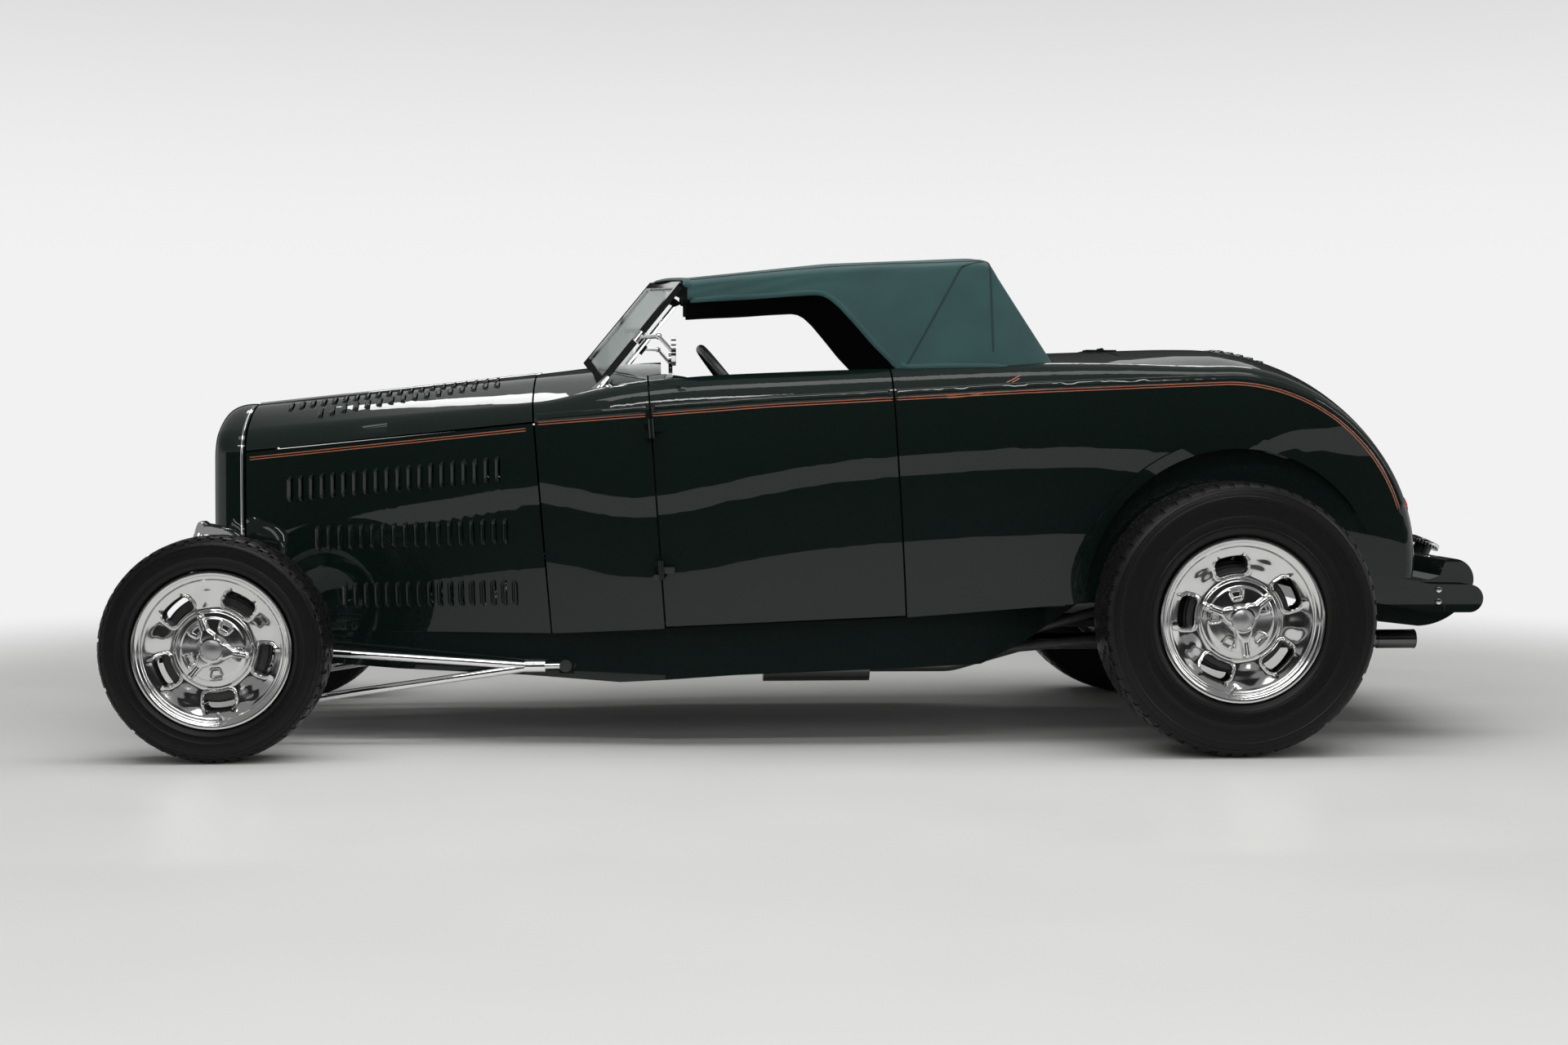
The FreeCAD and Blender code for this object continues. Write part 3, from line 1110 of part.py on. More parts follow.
# ---------------------------------------------------------------- lamps
lamp_x, lamp_y, lamp_z = ahead(-95), 420, 525
lamps = []
foot_y = rail_inside(ahead(-15)) + dim.rail_width + seat
for side_name, side in sides:
    centre = Vector(lamp_x, side * lamp_y, lamp_z)

    def profile(x, r):
        return centre + Vector(x, 0, r)

    edges = [Part.Arc(profile(-30, 0), profile(-23, 45), profile(0, 84)).toShape(),
             Part.makeLine(profile(0, 84), profile(-4, 90)), Part.makeLine(profile(-4, 90), profile(12, 92)),
             Part.makeLine(profile(12, 92), profile(18, 85)),
             Part.Arc(profile(18, 85), profile(92, 60), profile(140, 0)).toShape(),
             Part.makeLine(profile(140, 0), profile(-30, 0))]
    bucket = Part.Face(Part.Wire(edges)).revolve(centre, Vector(1, 0, 0), 360)
    stand = tube_run([(ahead(-45), side * (foot_y + 3), 272), (ahead(-45), side * 400, 284),
                      (ahead(-45), side * lamp_y, 350), (ahead(-45), side * lamp_y, 480)], 11, 24)
    pad = Part.makeBox(60, 8, 40, Vector(ahead(-75), min(side * foot_y, side * (foot_y + 8)), 252))
    lamps.append(bucket.fuse([stand, pad]))
feature("headlights", Part.makeCompound(lamps))
lens_y, lens_z, lens_r, lens_rise = 402, 653, 34, 14
lens_line = Part.makeLine(Vector(rear_x, lens_y, lens_z), Vector(rear_x + wide, lens_y, lens_z))
lens_x = tail_outer.common(lens_line).BoundBox.XMax
lenses = []
for side_name, side in sides:
    lens = Part.makeSphere(lens_r, Vector(lens_x + lens_rise - lens_r, side * lens_y, lens_z)).cut(tail_outer)
    lens.translate(Vector(seat, 0, 0))
    lenses.append(lens)
feature("tail_lights", Part.makeCompound(lenses))

# ---------------------------------------------------------------- fuel tank
tank_side = [(rear_x + 440, 372), (rear_x + 470, 438), (rear_x + 600, 440), (rear_x + 652, 457),
             (rear_x + 668, 500), ("arc", (rear_x + 726, 492), (rear_x + 746, 430)),
             (rear_x + 738, 404), ("arc", (rear_x + 690, 350), (rear_x + 590, 316)), (rear_x + 470, 330)]
tank_half = rail_inside(rear_x + 600) - seat
tank = side_solid(tank_side, -tank_half, tank_half)
neck_foot = Vector(rear_x + 705, -110, 470)
neck_way = Vector(math.sin(math.radians(25)), 0, math.cos(math.radians(25)))
neck = rod(neck_foot - neck_way * 20, neck_foot + neck_way * 60, 26)
cap = rod(neck_foot + neck_way * 58, neck_foot + neck_way * 74, 43)
feature("fuel_tank", tank.fuse([neck, cap]))

# ---------------------------------------------------------------- check and write
doc.recompute()
for item in doc.Objects:
    if "Invalid" in item.State or "Error" in item.State:
        raise RuntimeError("%s failed: %s" % (item.Name, item.State))
for item in kept:
    if item.Shape.isNull() or not item.Shape.isValid():
        raise RuntimeError("%s has no valid shape" % item.Label)
for item in kept:
    item.Shape.exportStep("parts/%s.step" % item.Label)
print(len(kept), "sub-parts written")
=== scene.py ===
import bpy
import bmesh
import json
from math import atan2, copysign, cos, degrees, exp, hypot, pi, radians, sin, sqrt, tau
from mathutils import Matrix, Vector
from mathutils.bvhtree import BVHTree


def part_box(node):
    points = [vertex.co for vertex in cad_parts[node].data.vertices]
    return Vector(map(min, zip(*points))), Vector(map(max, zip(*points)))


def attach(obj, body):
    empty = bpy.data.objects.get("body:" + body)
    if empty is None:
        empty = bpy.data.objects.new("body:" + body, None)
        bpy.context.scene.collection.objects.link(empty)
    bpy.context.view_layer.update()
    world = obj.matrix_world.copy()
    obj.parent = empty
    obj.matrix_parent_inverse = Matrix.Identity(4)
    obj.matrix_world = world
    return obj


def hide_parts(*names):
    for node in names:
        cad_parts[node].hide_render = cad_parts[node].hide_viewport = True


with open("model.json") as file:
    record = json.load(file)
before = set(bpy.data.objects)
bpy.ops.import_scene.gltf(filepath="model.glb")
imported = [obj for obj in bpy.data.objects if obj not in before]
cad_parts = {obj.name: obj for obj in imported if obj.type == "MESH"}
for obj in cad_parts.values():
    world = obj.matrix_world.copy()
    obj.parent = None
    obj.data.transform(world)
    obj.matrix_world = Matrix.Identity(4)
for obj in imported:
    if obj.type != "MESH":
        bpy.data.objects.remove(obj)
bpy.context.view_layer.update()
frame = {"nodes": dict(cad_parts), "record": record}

scene = bpy.context.scene
nodes = frame["nodes"]
frontAxle = Vector((-1.578, 0, 0.296))
rearAxle = Vector((1.114, 0, 0.365))


def behind(x, y=0, z=0):  # millimetres behind the front axle, then across and up
    return Vector((frontAxle.x + x / 1000, y / 1000, z / 1000))


# ---- finishes: every material is a small node graph round one shader

def filled(node, values):
    for key, value in values.items():
        node.inputs[key.replace("_", " ")].default_value = value
    return node


def addNode(tree, kind, *sources, **values):
    # the sources are linked to the node's first sockets, in order
    node = tree.nodes.new("ShaderNode" + kind)
    for socket, source in zip(node.inputs, sources):
        tree.links.new(source, socket)
    return filled(node, values)


def shader(name, color, roughness, metallic=0.0, **values):
    material = bpy.data.materials.new(name)
    material.use_nodes = True
    tree = material.node_tree
    values.update(Base_Color=(*color, 1), Roughness=roughness, Metallic=metallic)
    return material, tree, filled(tree.nodes["Principled BSDF"], values)


def ownPlace(tree):
    return addNode(tree, "TexCoord").outputs["Object"]


def objectNoise(tree, scale, detail):
    return addNode(tree, "TexNoise", ownPlace(tree), Scale=scale, Detail=detail).outputs["Fac"]


def twoTone(tree, bsdf, source, stops):
    node = addNode(tree, "ValToRGB", source)
    for element, (place, color) in zip(node.color_ramp.elements, stops):
        element.position = place
        element.color = (*color, 1)
    tree.links.new(node.outputs["Color"], bsdf.inputs["Base Color"])


def bump(tree, bsdf, height, strength, distance):
    node = addNode(tree, "Bump", Strength=strength, Distance=distance)
    tree.links.new(height, node.inputs["Height"])
    tree.links.new(node.outputs["Normal"], bsdf.inputs["Normal"])


def spread(tree, source, low, high):
    return addNode(tree, "MapRange", source, To_Min=low, To_Max=high).outputs["Result"]


def unevenGloss(tree, bsdf, scale, detail, low, high):
    haze = spread(tree, objectNoise(tree, scale, detail), low, high)
    tree.links.new(haze, bsdf.inputs["Roughness"])


def glossPaint(name, dark, light):
    material, tree, bsdf = shader(name, dark, 0.5, Coat_Weight=1, Coat_Roughness=0.015,
                                  Coat_IOR=1.42, Specular_IOR_Level=0.1)
    twoTone(tree, bsdf, objectNoise(tree, 900, 2), [(0.35, dark), (0.75, light)])  # flakes
    bump(tree, bsdf, objectNoise(tree, 55, 2), 0.03, 0.0004)
    return material


def polishedMetal(name, color, roughness, grain):
    material, tree, bsdf = shader(name, color, roughness, 1.0)
    unevenGloss(tree, bsdf, grain, 5, roughness * 0.6, roughness * 1.7)
    return material


def mottled(name, dark, light, roughness, grain, lift, gloss=0.5):
    material, tree, bsdf = shader(name, dark, roughness, Specular_IOR_Level=gloss)
    noise = objectNoise(tree, grain, 6)
    twoTone(tree, bsdf, noise, [(0.3, dark), (0.7, light)])
    bump(tree, bsdf, noise, 0.25, lift)
    return material


def wovenCloth(name, dark, light, threads, roughness, sheen):
    material, tree, bsdf = shader(name, dark, roughness, Sheen_Weight=sheen)
    place = ownPlace(tree)
    weave = []
    for axis, waver in (("X", 0.6), ("Y", 1.0)):
        wave = addNode(tree, "TexWave", place, Scale=threads, Distortion=waver)
        wave.bands_direction = axis
        weave.append(wave.outputs["Fac"])
    cross = addNode(tree, "Math", *weave)
    cross.operation = "MULTIPLY"
    shades = [spread(tree, cross.outputs[0], 0, 0.45), spread(tree, objectNoise(tree, 9, 4), 0, 0.55)]
    twoTone(tree, bsdf, addNode(tree, "Math", *shades).outputs[0], [(0.15, dark), (0.8, light)])
    bump(tree, bsdf, cross.outputs[0], 0.35, 0.0004)
    return material


def tintedGlass(name, color, ior=1.5):
    material, tree, bsdf = shader(name, color, 0.02, Transmission_Weight=1.0, IOR=ior)
    unevenGloss(tree, bsdf, 14, 3, 0.005, 0.04)
    return material


finishes = {
    "body_paint": glossPaint("bodyGreen", (0.0002, 0.0014, 0.0011), (0.0008, 0.0075, 0.0056)),
    "frame_paint": glossPaint("frameGreen", (0.0003, 0.0018, 0.0015), (0.001, 0.0065, 0.005)),
    "axle_paint": mottled("axleBlack", (0.01,) * 3, (0.022,) * 3, 0.38, 60, 0.0004),
    "polished_alloy": polishedMetal("polishedAlloy", (0.66, 0.66, 0.655), 0.12, 40),
    "tyre_rubber": mottled("tyreRubber", (0.0025,) * 3, (0.006, 0.0059, 0.0057), 0.36, 180, 0.0003,
                           gloss=0.2),
    "bright_chrome": polishedMetal("brightChrome", (0.86, 0.86, 0.87), 0.035, 18),
    "bare_steel": polishedMetal("bareSteel", (0.42, 0.42, 0.43), 0.32, 70),
    "exhaust_steel": polishedMetal("exhaustSteel", (0.13,) * 3, 0.14, 25),
    "cast_block": mottled("castBlock", (0.035, 0.04, 0.04), (0.07, 0.075, 0.075), 0.55, 120, 0.0012),
    "radiator_black": mottled("radiatorBlack", (0.008,) * 3, (0.02,) * 3, 0.6, 90, 0.0006),
    "tinted_glass": tintedGlass("tintedGlass", (0.93, 0.985, 0.96)),
    "top_fabric": wovenCloth("topCanvas", (0.0015, 0.0175, 0.018), (0.0045, 0.04, 0.04), 420,
                             0.8, 0.08),
    "seat_leather": mottled("seatHide", (0.03, 0.02, 0.014), (0.05, 0.034, 0.024), 0.45, 160, 0.0008),
    "cabin_carpet": mottled("cabinCarpet", (0.012, 0.016, 0.014), (0.03, 0.036, 0.032), 0.95, 260, 0.003),
    "wheel_grip": mottled("wheelGrip", (0.008, 0.009, 0.009), (0.014, 0.015, 0.015), 0.3, 200, 0.0003),
    "red_lens": tintedGlass("redLens", (0.75, 0.02, 0.015), 1.45),
    "topLining": mottled("topLining", (0.004,) * 3, (0.009,) * 3, 0.9, 240, 0.0004),
    "darkRubber": mottled("darkRubber", (0.006,) * 3, (0.012,) * 3, 0.7, 200, 0.0003),
    "clearLens": tintedGlass("clearLens", (0.97, 0.98, 0.98)),
    "clearPane": tintedGlass("clearPane", (0.86, 0.88, 0.86), 1.2),
    "mirrorBowl": polishedMetal("mirrorBowl", (0.92,) * 3, 0.02, 8),
    "frostedBulb": mottled("frostedBulb", (0.75, 0.74, 0.7), (0.86, 0.85, 0.82), 0.4, 90, 0.0001),
    # darker copy of the canvas colour for the stitched seams: partly the real thread and binding, partly
    # painted shade of the creases along the seams
    "seamThreadAndCreaseShade": mottled("seamThreadAndCreaseShade", (0.0008, 0.007, 0.0072), (0.0018, 0.013, 0.013), 0.7, 300, 0.0002),
    "copperLine": mottled("copperLine", (0.17, 0.05, 0.024), (0.25, 0.08, 0.04), 0.35, 300, 0.0001),
}
for subpart in frame["record"]["subparts"]:
    node = nodes[subpart["node"]]
    node.data.materials.clear()
    node.data.materials.append(finishes[subpart["material_slot"]])
print("finishes")

# ---- helpers for new pieces: each is made in place, then rides on a body of the car
sides = (("Left", -1), ("Right", 1))


def linked(name, mesh):
    data = bpy.data.meshes.new(name)
    mesh.to_mesh(data)
    mesh.free()
    thing = bpy.data.objects.new(name, data)
    scene.collection.objects.link(thing)
    return thing


def merged(mesh):
    bmesh.ops.remove_doubles(mesh, verts=mesh.verts, dist=0.00002)
    return mesh


def dressed(piece, slotName, finish=None, body="chassis"):
    piece.data.polygons.foreach_set("use_smooth", [True] * len(piece.data.polygons))
    piece.data.materials.clear()
    piece.data.materials.append(finishes[finish or slotName])
    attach(piece, body)


def addPiece(name, mesh, slotName, crease=40, finish=None, body="chassis", recalc=True):
    merged(mesh)
    if recalc:
        bmesh.ops.recalc_face_normals(mesh, faces=mesh.faces)
    piece = linked(name, mesh)
    dressed(piece, slotName, finish, body)
    piece.data.set_sharp_from_angle(angle=radians(crease))
    return piece


def turnProfile(mesh, profile, centre, along, steps, closed=False):
    # profile runs in (distance from the axis, distance along it)
    along = Vector(along).normalized()
    across = along.orthogonal().normalized()
    centre = Vector(centre)
    ring = [mesh.verts.new(centre + across * r + along * w) for r, w in profile]
    pairs = list(zip(ring, ring[1:])) + ([(ring[-1], ring[0])] if closed else [])
    edges = [mesh.edges.new(pair) for pair in pairs]
    bmesh.ops.spin(mesh, geom=ring + edges, cent=centre, axis=along, dvec=(0, 0, 0),
                   angle=tau, steps=steps, use_merge=True)
    return merged(mesh)


def spun(name, line, centre, along, steps, slotName, closed=False, crease=40, finish=None, body="chassis"):
    mesh = turnProfile(bmesh.new(), line, centre, along, steps, closed)
    return addPiece(name, mesh, slotName, crease, finish, body)


def placedGrid(rows, columns, place, mesh=None):
    # a flat grid whose points are then carried to place(row, column)
    mesh = mesh or bmesh.new()
    made = bmesh.ops.create_grid(mesh, x_segments=columns - 1, y_segments=rows - 1, size=1)
    for vert in made["verts"]:
        row = round((vert.co.y + 1) / 2 * (rows - 1))
        column = round((vert.co.x + 1) / 2 * (columns - 1))
        vert.co = place(row, column)
    return mesh


def headings(points):
    last = len(points) - 1
    return [(points[min(k + 1, last)] - points[max(k - 1, 0)]).normalized() for k in range(last + 1)]


def strap(points, normals, width, rise, columns, mesh=None, sunk=0.0006):
    # a low rounded strip along a line of points on a surface
    last = len(points) - 1
    runs = headings(points)

    def place(row, column):
        t = column / (columns - 1) * 2 - 1
        sideways = runs[row].cross(normals[row]).normalized()
        lift = rise * (1 - t ** 4) - sunk * abs(t) ** 4
        if row in (0, last):
            lift = -sunk
        return points[row] + sideways * (t * width / 2) + normals[row] * lift

    return placedGrid(last + 1, columns, place, mesh)


skins = {}


def skinOf(*names):
    if names not in skins:
        points, faces = [], []
        for name in names:
            base = len(points)
            data = nodes[name].data
            points += [v.co.copy() for v in data.vertices]
            faces += [[base + k for k in face.vertices] for face in data.polygons]
        skins[names] = BVHTree.FromPolygons(points, faces)
    return skins[names]


def firstHit(tree, start, way):
    # where a ray meets a skin, and the skin's normal there, turned to face the ray
    hit, normal = tree.ray_cast(start, way)[:2]
    return hit and (hit, normal if normal.dot(way) < 0 else -normal)


def onSide(tree, x, z, side):
    return firstHit(tree, Vector((behind(x).x, side * 1.2, z / 1000)), Vector((0, -side, 0)))


def followed(tree, places, side):
    # the points and normals that a line of places meets on a skin
    found = [onSide(tree, x, z, side) for x, z in places]
    return zip(*[hit for hit in found if hit])


def capsule(mesh, start, end, radius, segments=12):
    # a pin with rounded ends
    start, end = Vector(start), Vector(end)
    length = (end - start).length
    soft = radius * 0.3
    foot = [(0, 0), (radius - soft, 0), (radius - soft * 0.3, soft * 0.3), (radius, soft)]
    profile = foot + [(r, length - w) for r, w in reversed(foot)]
    return turnProfile(mesh, profile, start, end - start, segments)


def facing(point, way):
    return Matrix.Translation(point) @ way.to_track_quat("Z", "Y").to_matrix().to_4x4()


def edgesOf(verts):
    return list({edge for vert in verts for edge in vert.link_edges})


def softened(mesh, edges, offset, segments):
    bmesh.ops.bevel(mesh, geom=edges, offset=offset, segments=segments, profile=0.5, affect="EDGES",
                    material=-1)


def hexBolt(mesh, place, out, across, height):
    made = bmesh.ops.create_cone(mesh, cap_ends=True, segments=6, radius1=across / 2, radius2=across / 2,
                                 depth=height, matrix=facing(place + out * height / 2, out))
    softened(mesh, edgesOf(made["verts"]), across * 0.05, 2)


def tube(mesh, path, radius, around):
    # a round bar along a line of points
    rings = []
    for point, run in zip(path, headings(path)):
        made = bmesh.ops.create_circle(mesh, cap_ends=False, segments=around, radius=radius,
                                       matrix=facing(point, run))
        rings.append(made["verts"])
    for pair in zip(rings, rings[1:]):
        hoops = {e for ring in pair for e in edgesOf(ring) if e.verts[0] in ring and e.verts[1] in ring}
        bmesh.ops.bridge_loops(mesh, edges=list(hoops))
    for ring in (rings[0], rings[-1]):
        mesh.faces.new(ring)
    return mesh


# ---- tyres: turned sidewall and tread, then sipes pressed into the blocks
tyre = {"front": {"radius": 0.296, "half": 0.092, "seat": 0.2078, "track": 0.71, "axle": frontAxle,
                  "rim": 207.5, "windows": 60, "arms": (110, -10, 230), "valve": -84},
        "rear": {"radius": 0.365, "half": 0.112, "seat": 0.2208, "track": 0.74, "axle": rearAxle,
                 "rim": 220.5, "windows": 28, "arms": (39, 159, 279), "valve": -97},
        "steps": 168, "grooves": (0.16, 0.5), "grooveWidth": 0.005, "grooveDepth": 0.006,
        "crown": (0.98, 0.78, 0.5, 0.16), "crownDrop": 0.0026, "sipeInset": 0.0009, "sipeDepth": 0.0036}
# share of the way from rim to tread, and how far in from the widest place, in millimetres
sidewall = [(0.005, 24), (0.03, 18.5), (0.07, 11.5), (0.11, 7.6), (0.155, 5.4), (0.165, 3.2), (0.2, 2.6),
            (0.215, 4.2), (0.26, 3.2), (0.36, 1.4), (0.375, 0.6), (0.39, 1.4), (0.5, 0.4), (0.6, 0.8),
            (0.7, 2.3), (0.712, 1.1), (0.735, 1.3), (0.75, 3.6), (0.8, 5.2), (0.84, 7.2), (0.85, 5.9),
            (0.875, 7.4), (0.91, 11), (0.945, 16), (0.97, 23), (0.982, 31)]
wheels = []
for end in ("front", "rear"):
    for sideName, side in sides:
        spec = tyre[end]
        centre = Vector((spec["axle"].x, side * spec["track"], spec["axle"].z))
        wheels.append((end + sideName, end + "_" + sideName.lower(), spec, side, centre))


def tyreProfile(spec):
    radius, half, seat = spec["radius"], spec["half"], spec["seat"]
    near = [(seat + (radius - seat) * share, half - inset / 1000) for share, inset in sidewall]
    cut, deep = tyre["grooveWidth"] / 2, tyre["grooveDepth"]
    for place in tyre["crown"]:
        w = (half - 0.036) * place
        r = radius - tyre["crownDrop"] * place ** 2
        if place in tyre["grooves"]:
            near += [(r, w + cut), (r - deep, w + cut * 0.6), (r - deep, w - cut * 0.6), (r, w - cut)]
        else:
            near.append((r, w))
    return near + [(r, -w) for r, w in reversed(near)]


def pressSipes(mesh, centre, spec, phase):
    picked = []
    half, radius = spec["half"], spec["radius"]
    for face in mesh.faces:
        place = face.calc_center_median() - centre
        reach, w = hypot(place.x, place.z), place.y
        turn = int((atan2(place.z, place.x) % tau) / tau * tyre["steps"] + 0.5)
        onShoulder = radius - 0.0155 < reach < radius - 0.0005 and abs(w) > half - 0.034
        onTread = reach > radius - 0.0032 and abs(w) <= half - 0.034
        if onShoulder and (turn + phase) % 3 == 0:
            picked.append(face)
        if onTread and (turn + phase + int(abs(w) * 60) + (2 if w > 0 else 0)) % 4 == 0:
            picked.append(face)
    bmesh.ops.inset_region(mesh, faces=picked, thickness=tyre["sipeInset"], depth=-tyre["sipeDepth"],
                           use_even_offset=True, use_boundary=True)


for tag, corner, spec, side, centre in wheels:
    mesh = turnProfile(bmesh.new(), tyreProfile(spec), centre, (0, 1, 0), tyre["steps"], closed=True)
    bmesh.ops.recalc_face_normals(mesh, faces=mesh.faces)
    pressSipes(mesh, centre, spec, 1 if side > 0 else 0)
    piece = addPiece(tag + "Tyre", mesh, "tyre_rubber", 32, body=corner + "_wheel")
    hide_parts(corner + "_tyre")
print("tyres")

# ---- belt moulding and the two copper pinstripes, one run for each panel
belt = {"points": [(14, 802), (800, 884), (1470, 935), (1784, 952), (2125, 971), (2693, 995)],
        "tail": (2697, 475, 520), "tailEnd": 19.5, "step": 7, "beadUp": 13, "beadWidth": 0.024,
        "beadRise": 0.0042, "stripe": 0.0032, "stripeDrops": (0, 6.6), "hoodDrop": 14}


def beltLine(drop, low, high):
    line = []
    for (x0, z0), (x1, z1) in zip(belt["points"], belt["points"][1:]):
        count = max(2, int((x1 - x0) / belt["step"]))
        line += [(x0 + (x1 - x0) * k / count, z0 + (z1 - z0) * k / count - drop) for k in range(count)]
    x, z, radius = belt["tail"]
    radius -= drop
    for k in range(61):
        turn = radians(90 - (90 - belt["tailEnd"]) * k / 60)
        line.append((x + radius * cos(turn), z + radius * sin(turn)))
    return [(x, z) for x, z in line if low <= x <= high]


def copperPair(name, tree, side, lineAt, body="chassis"):
    mesh = bmesh.new()
    for drop in belt["stripeDrops"]:
        strap(*followed(tree, lineAt(drop), side), belt["stripe"], 0.0004, 3, mesh, 0.0001)
    addPiece(name, mesh, "body_paint", 60, "copperLine", body)


panels = [("Hood", 12, 806, "hood_side_{}", "chassis"), ("Cowl", 815, 1129, "cowl", "chassis"),
          ("Door", 1132, 1791, "door_{}", "{}_door"), ("Quarter", 1790, 3400, "rear_body", "chassis")]
for panelName, low, high, node, body in panels:
    for sideName, side in sides:
        tree, rides = skinOf(node.format(sideName.lower())), body.format(sideName.lower())
        name = panelName + sideName
        if panelName != "Hood":
            found = followed(tree, beltLine(-belt["beadUp"], low, high), side)
            mesh = strap(*found, belt["beadWidth"], belt["beadRise"], 9)
            addPiece("bead" + name, mesh, "body_paint", 60, body=rides)
        under = belt["hoodDrop"] if panelName == "Hood" else 0
        copperPair("pinstripe" + name, tree, side, lambda drop: beltLine(drop + under, low, high), rides)
print("belt and pinstripes")

# ---- soft top: one curved sheet over three bows, with its seams, hem and rear window
# stations: behind the front axle, half width and height at the foot, at the shoulder, crown height
top = {"stations": [(1130, 545, 960, 486, 1248, 1290), (1632, 610, 960, 530, 1296, 1345),
                    (2058, 636, 960, 548, 1312, 1363)],
       "tail": (2232, 634, 960, 567, 1043, 1090), "crownRadius": 3800, "cornerReach": 62,
       "front": 1143, "frontSweep": 88, "sweepFades": 380, "bowSoftness": 22,
       "hem": [(1143, 1221), (1251, 1218), (1584, 1238), (1606, 1234), (1628, 1222), (1655, 1196),
               (1690, 1154), (1740, 1092), (1790, 1040), (1802, 1022), (1830, 1012), (2240, 1012)],
       "columns": (12, 6, 34), "thickness": 0.0035, "sag": 3.5, "pull": 1.6, "sideBow": 19.2,
       "bays": ((1190, 1632), (1632, 2058)), "fan": (1640, 2200), "window": (2090, 2176, 0.225)}
bowPlace, tailPlace = top["stations"][2][0], top["tail"][0]
sideCells, cornerCells, crownCells = top["columns"]
inner = crownCells / 2
half = sideCells + cornerCells + crownCells // 2


def between(table, x):
    for low, high in zip(table, table[1:]):
        if x <= high[0]:
            share = max(0.0, (x - low[0]) / (high[0] - low[0]))
            return [a + (b - a) * share for a, b in zip(low[1:], high[1:])]
    return list(table[-1][1:])


def throughThree(table, x):
    # the smooth curve through the three bows
    (xa, *a), (xb, *b), (xc, *c) = table
    la = (x - xb) * (x - xc) / (xa - xb) / (xa - xc)
    lb = (x - xa) * (x - xc) / (xb - xa) / (xb - xc)
    lc = (x - xa) * (x - xb) / (xc - xa) / (xc - xb)
    return [la * p + lb * q + lc * r for p, q, r in zip(a, b, c)]


def topStation(x):
    soft = top["bowSoftness"]
    if x <= bowPlace - soft:
        return throughThree(top["stations"], x)
    tail = between([top["stations"][2], top["tail"]], max(x, bowPlace))
    if x >= bowPlace + soft:
        return tail
    share = (x - bowPlace + soft) / (2 * soft)
    roof = throughThree(top["stations"], min(x, bowPlace))
    blended = [a + (b - a) * share for a, b in zip(roof, tail)]
    dip = 4.0 * (1 - abs(2 * share - 1))  # the fabric rounds over the rear bow
    blended[3] -= dip
    blended[4] -= dip
    return blended


def topPoint(x, v):
    # v runs from -1 at the left hem over the crown to 1 at the right hem
    cell = abs(v) * half
    spanAcross = min(1.0, cell / inner)
    xShift = top["frontSweep"] * spanAcross ** 1.6 + (12 if cell > inner + cornerCells else 0)
    xHere = x + xShift * max(0.0, 1 - (x - top["front"]) / top["sweepFades"])
    footY, footZ, beltY, beltZ, crownZ = topStation(xHere)
    cornerY = beltY - top["cornerReach"]

    def crown(y):
        return crownZ - y * y / 2 / top["crownRadius"]

    if cell <= inner:
        y = cornerY * cell / inner
        z = crown(y)
    elif cell <= inner + cornerCells:
        t = (cell - inner) / cornerCells
        bend = (cornerY, beltY - 9, beltY), (crown(cornerY), crown(beltY) - 1, beltZ)
        y, z = [(1 - t) ** 2 * a + 2 * t * (1 - t) * b + t * t * c for a, b, c in bend]
    else:
        t = (cell - inner - cornerCells) / sideCells
        hemZ = between(top["hem"], xHere)[0]
        z = beltZ + (hemZ - beltZ) * t
        down = (beltZ - z) / (beltZ - footZ)
        y = beltY + (footY - beltY) * down + top["sideBow"] * down * (1 - down)
    point = behind(xHere, 0, z)
    point.y = copysign(y / 1000, v) if y else 0
    return point, xHere, cell


def topSurface(x, v):
    point, xHere, cell = topPoint(x, v)
    sag = 0.0
    for low, high in top["bays"]:
        if low < xHere < high:
            wave = sin(pi * (xHere - low) / (high - low))
            sag += top["sag"] * wave * (1 - 0.25 * abs(v))
    low, high = top["fan"]
    if low < xHere < high and cell > inner:  # pulls that fan from the rear bow to the side hem
        fan = sin((xHere - low) / (high - low) * pi)
        sag += top["pull"] * fan * sin(xHere / 46 + cell * 0.55)
    if cell > inner + 6:
        sag += 0.8 * sin(xHere / 31 + cell * 0.9)
    point.z -= sag / 1000 * (0.5 if cell > inner else 1.0)
    if cell > inner:
        point.y -= copysign(sag / 1000, v) * 0.6
    return point


def topNormal(x, v):
    along = topSurface(min(x + 4, tailPlace - 2), v) - topSurface(x - 4, v)
    across = topSurface(x, min(v + 0.012, 1)) - topSurface(x, max(v - 0.012, -1))
    return along.cross(across).normalized()


windowFront, windowRear, windowHalf = top["window"]
rowPlaces = [top["front"] + (bowPlace - top["front"]) * k / 62 for k in range(63)]
rowPlaces += [bowPlace + (tailPlace - bowPlace) * k / 28 for k in range(1, 29)]
mesh = placedGrid(len(rowPlaces), 2 * half + 1,
                  lambda row, column: topSurface(rowPlaces[row], column / half - 1))
middles = [(face, face.calc_center_median()) for face in mesh.faces]
bmesh.ops.delete(mesh, context="FACES", geom=[
    face for face, middle in middles if abs(middle.y) < windowHalf and middle.z > 1.09
    and behind(windowFront).x < middle.x < behind(windowRear).x])
softTop = addPiece("softTopSheet", mesh, "top_fabric", 75, recalc=False)
sheet = softTop.data
if sheet.polygons[len(sheet.polygons) // 3].normal.z < 0:
    sheet.flip_normals()
sheet.materials.append(finishes["topLining"])
thick = softTop.modifiers.new("thick", "SOLIDIFY")
thick.thickness, thick.offset, thick.material_offset = top["thickness"], -1, 1
smooth = softTop.modifiers.new("smooth", "SUBSURF")
smooth.levels = smooth.render_levels = 1
sheetLength = sum((topSurface(b, 0) - topSurface(a, 0)).length for a, b in zip(rowPlaces, rowPlaces[1:]))


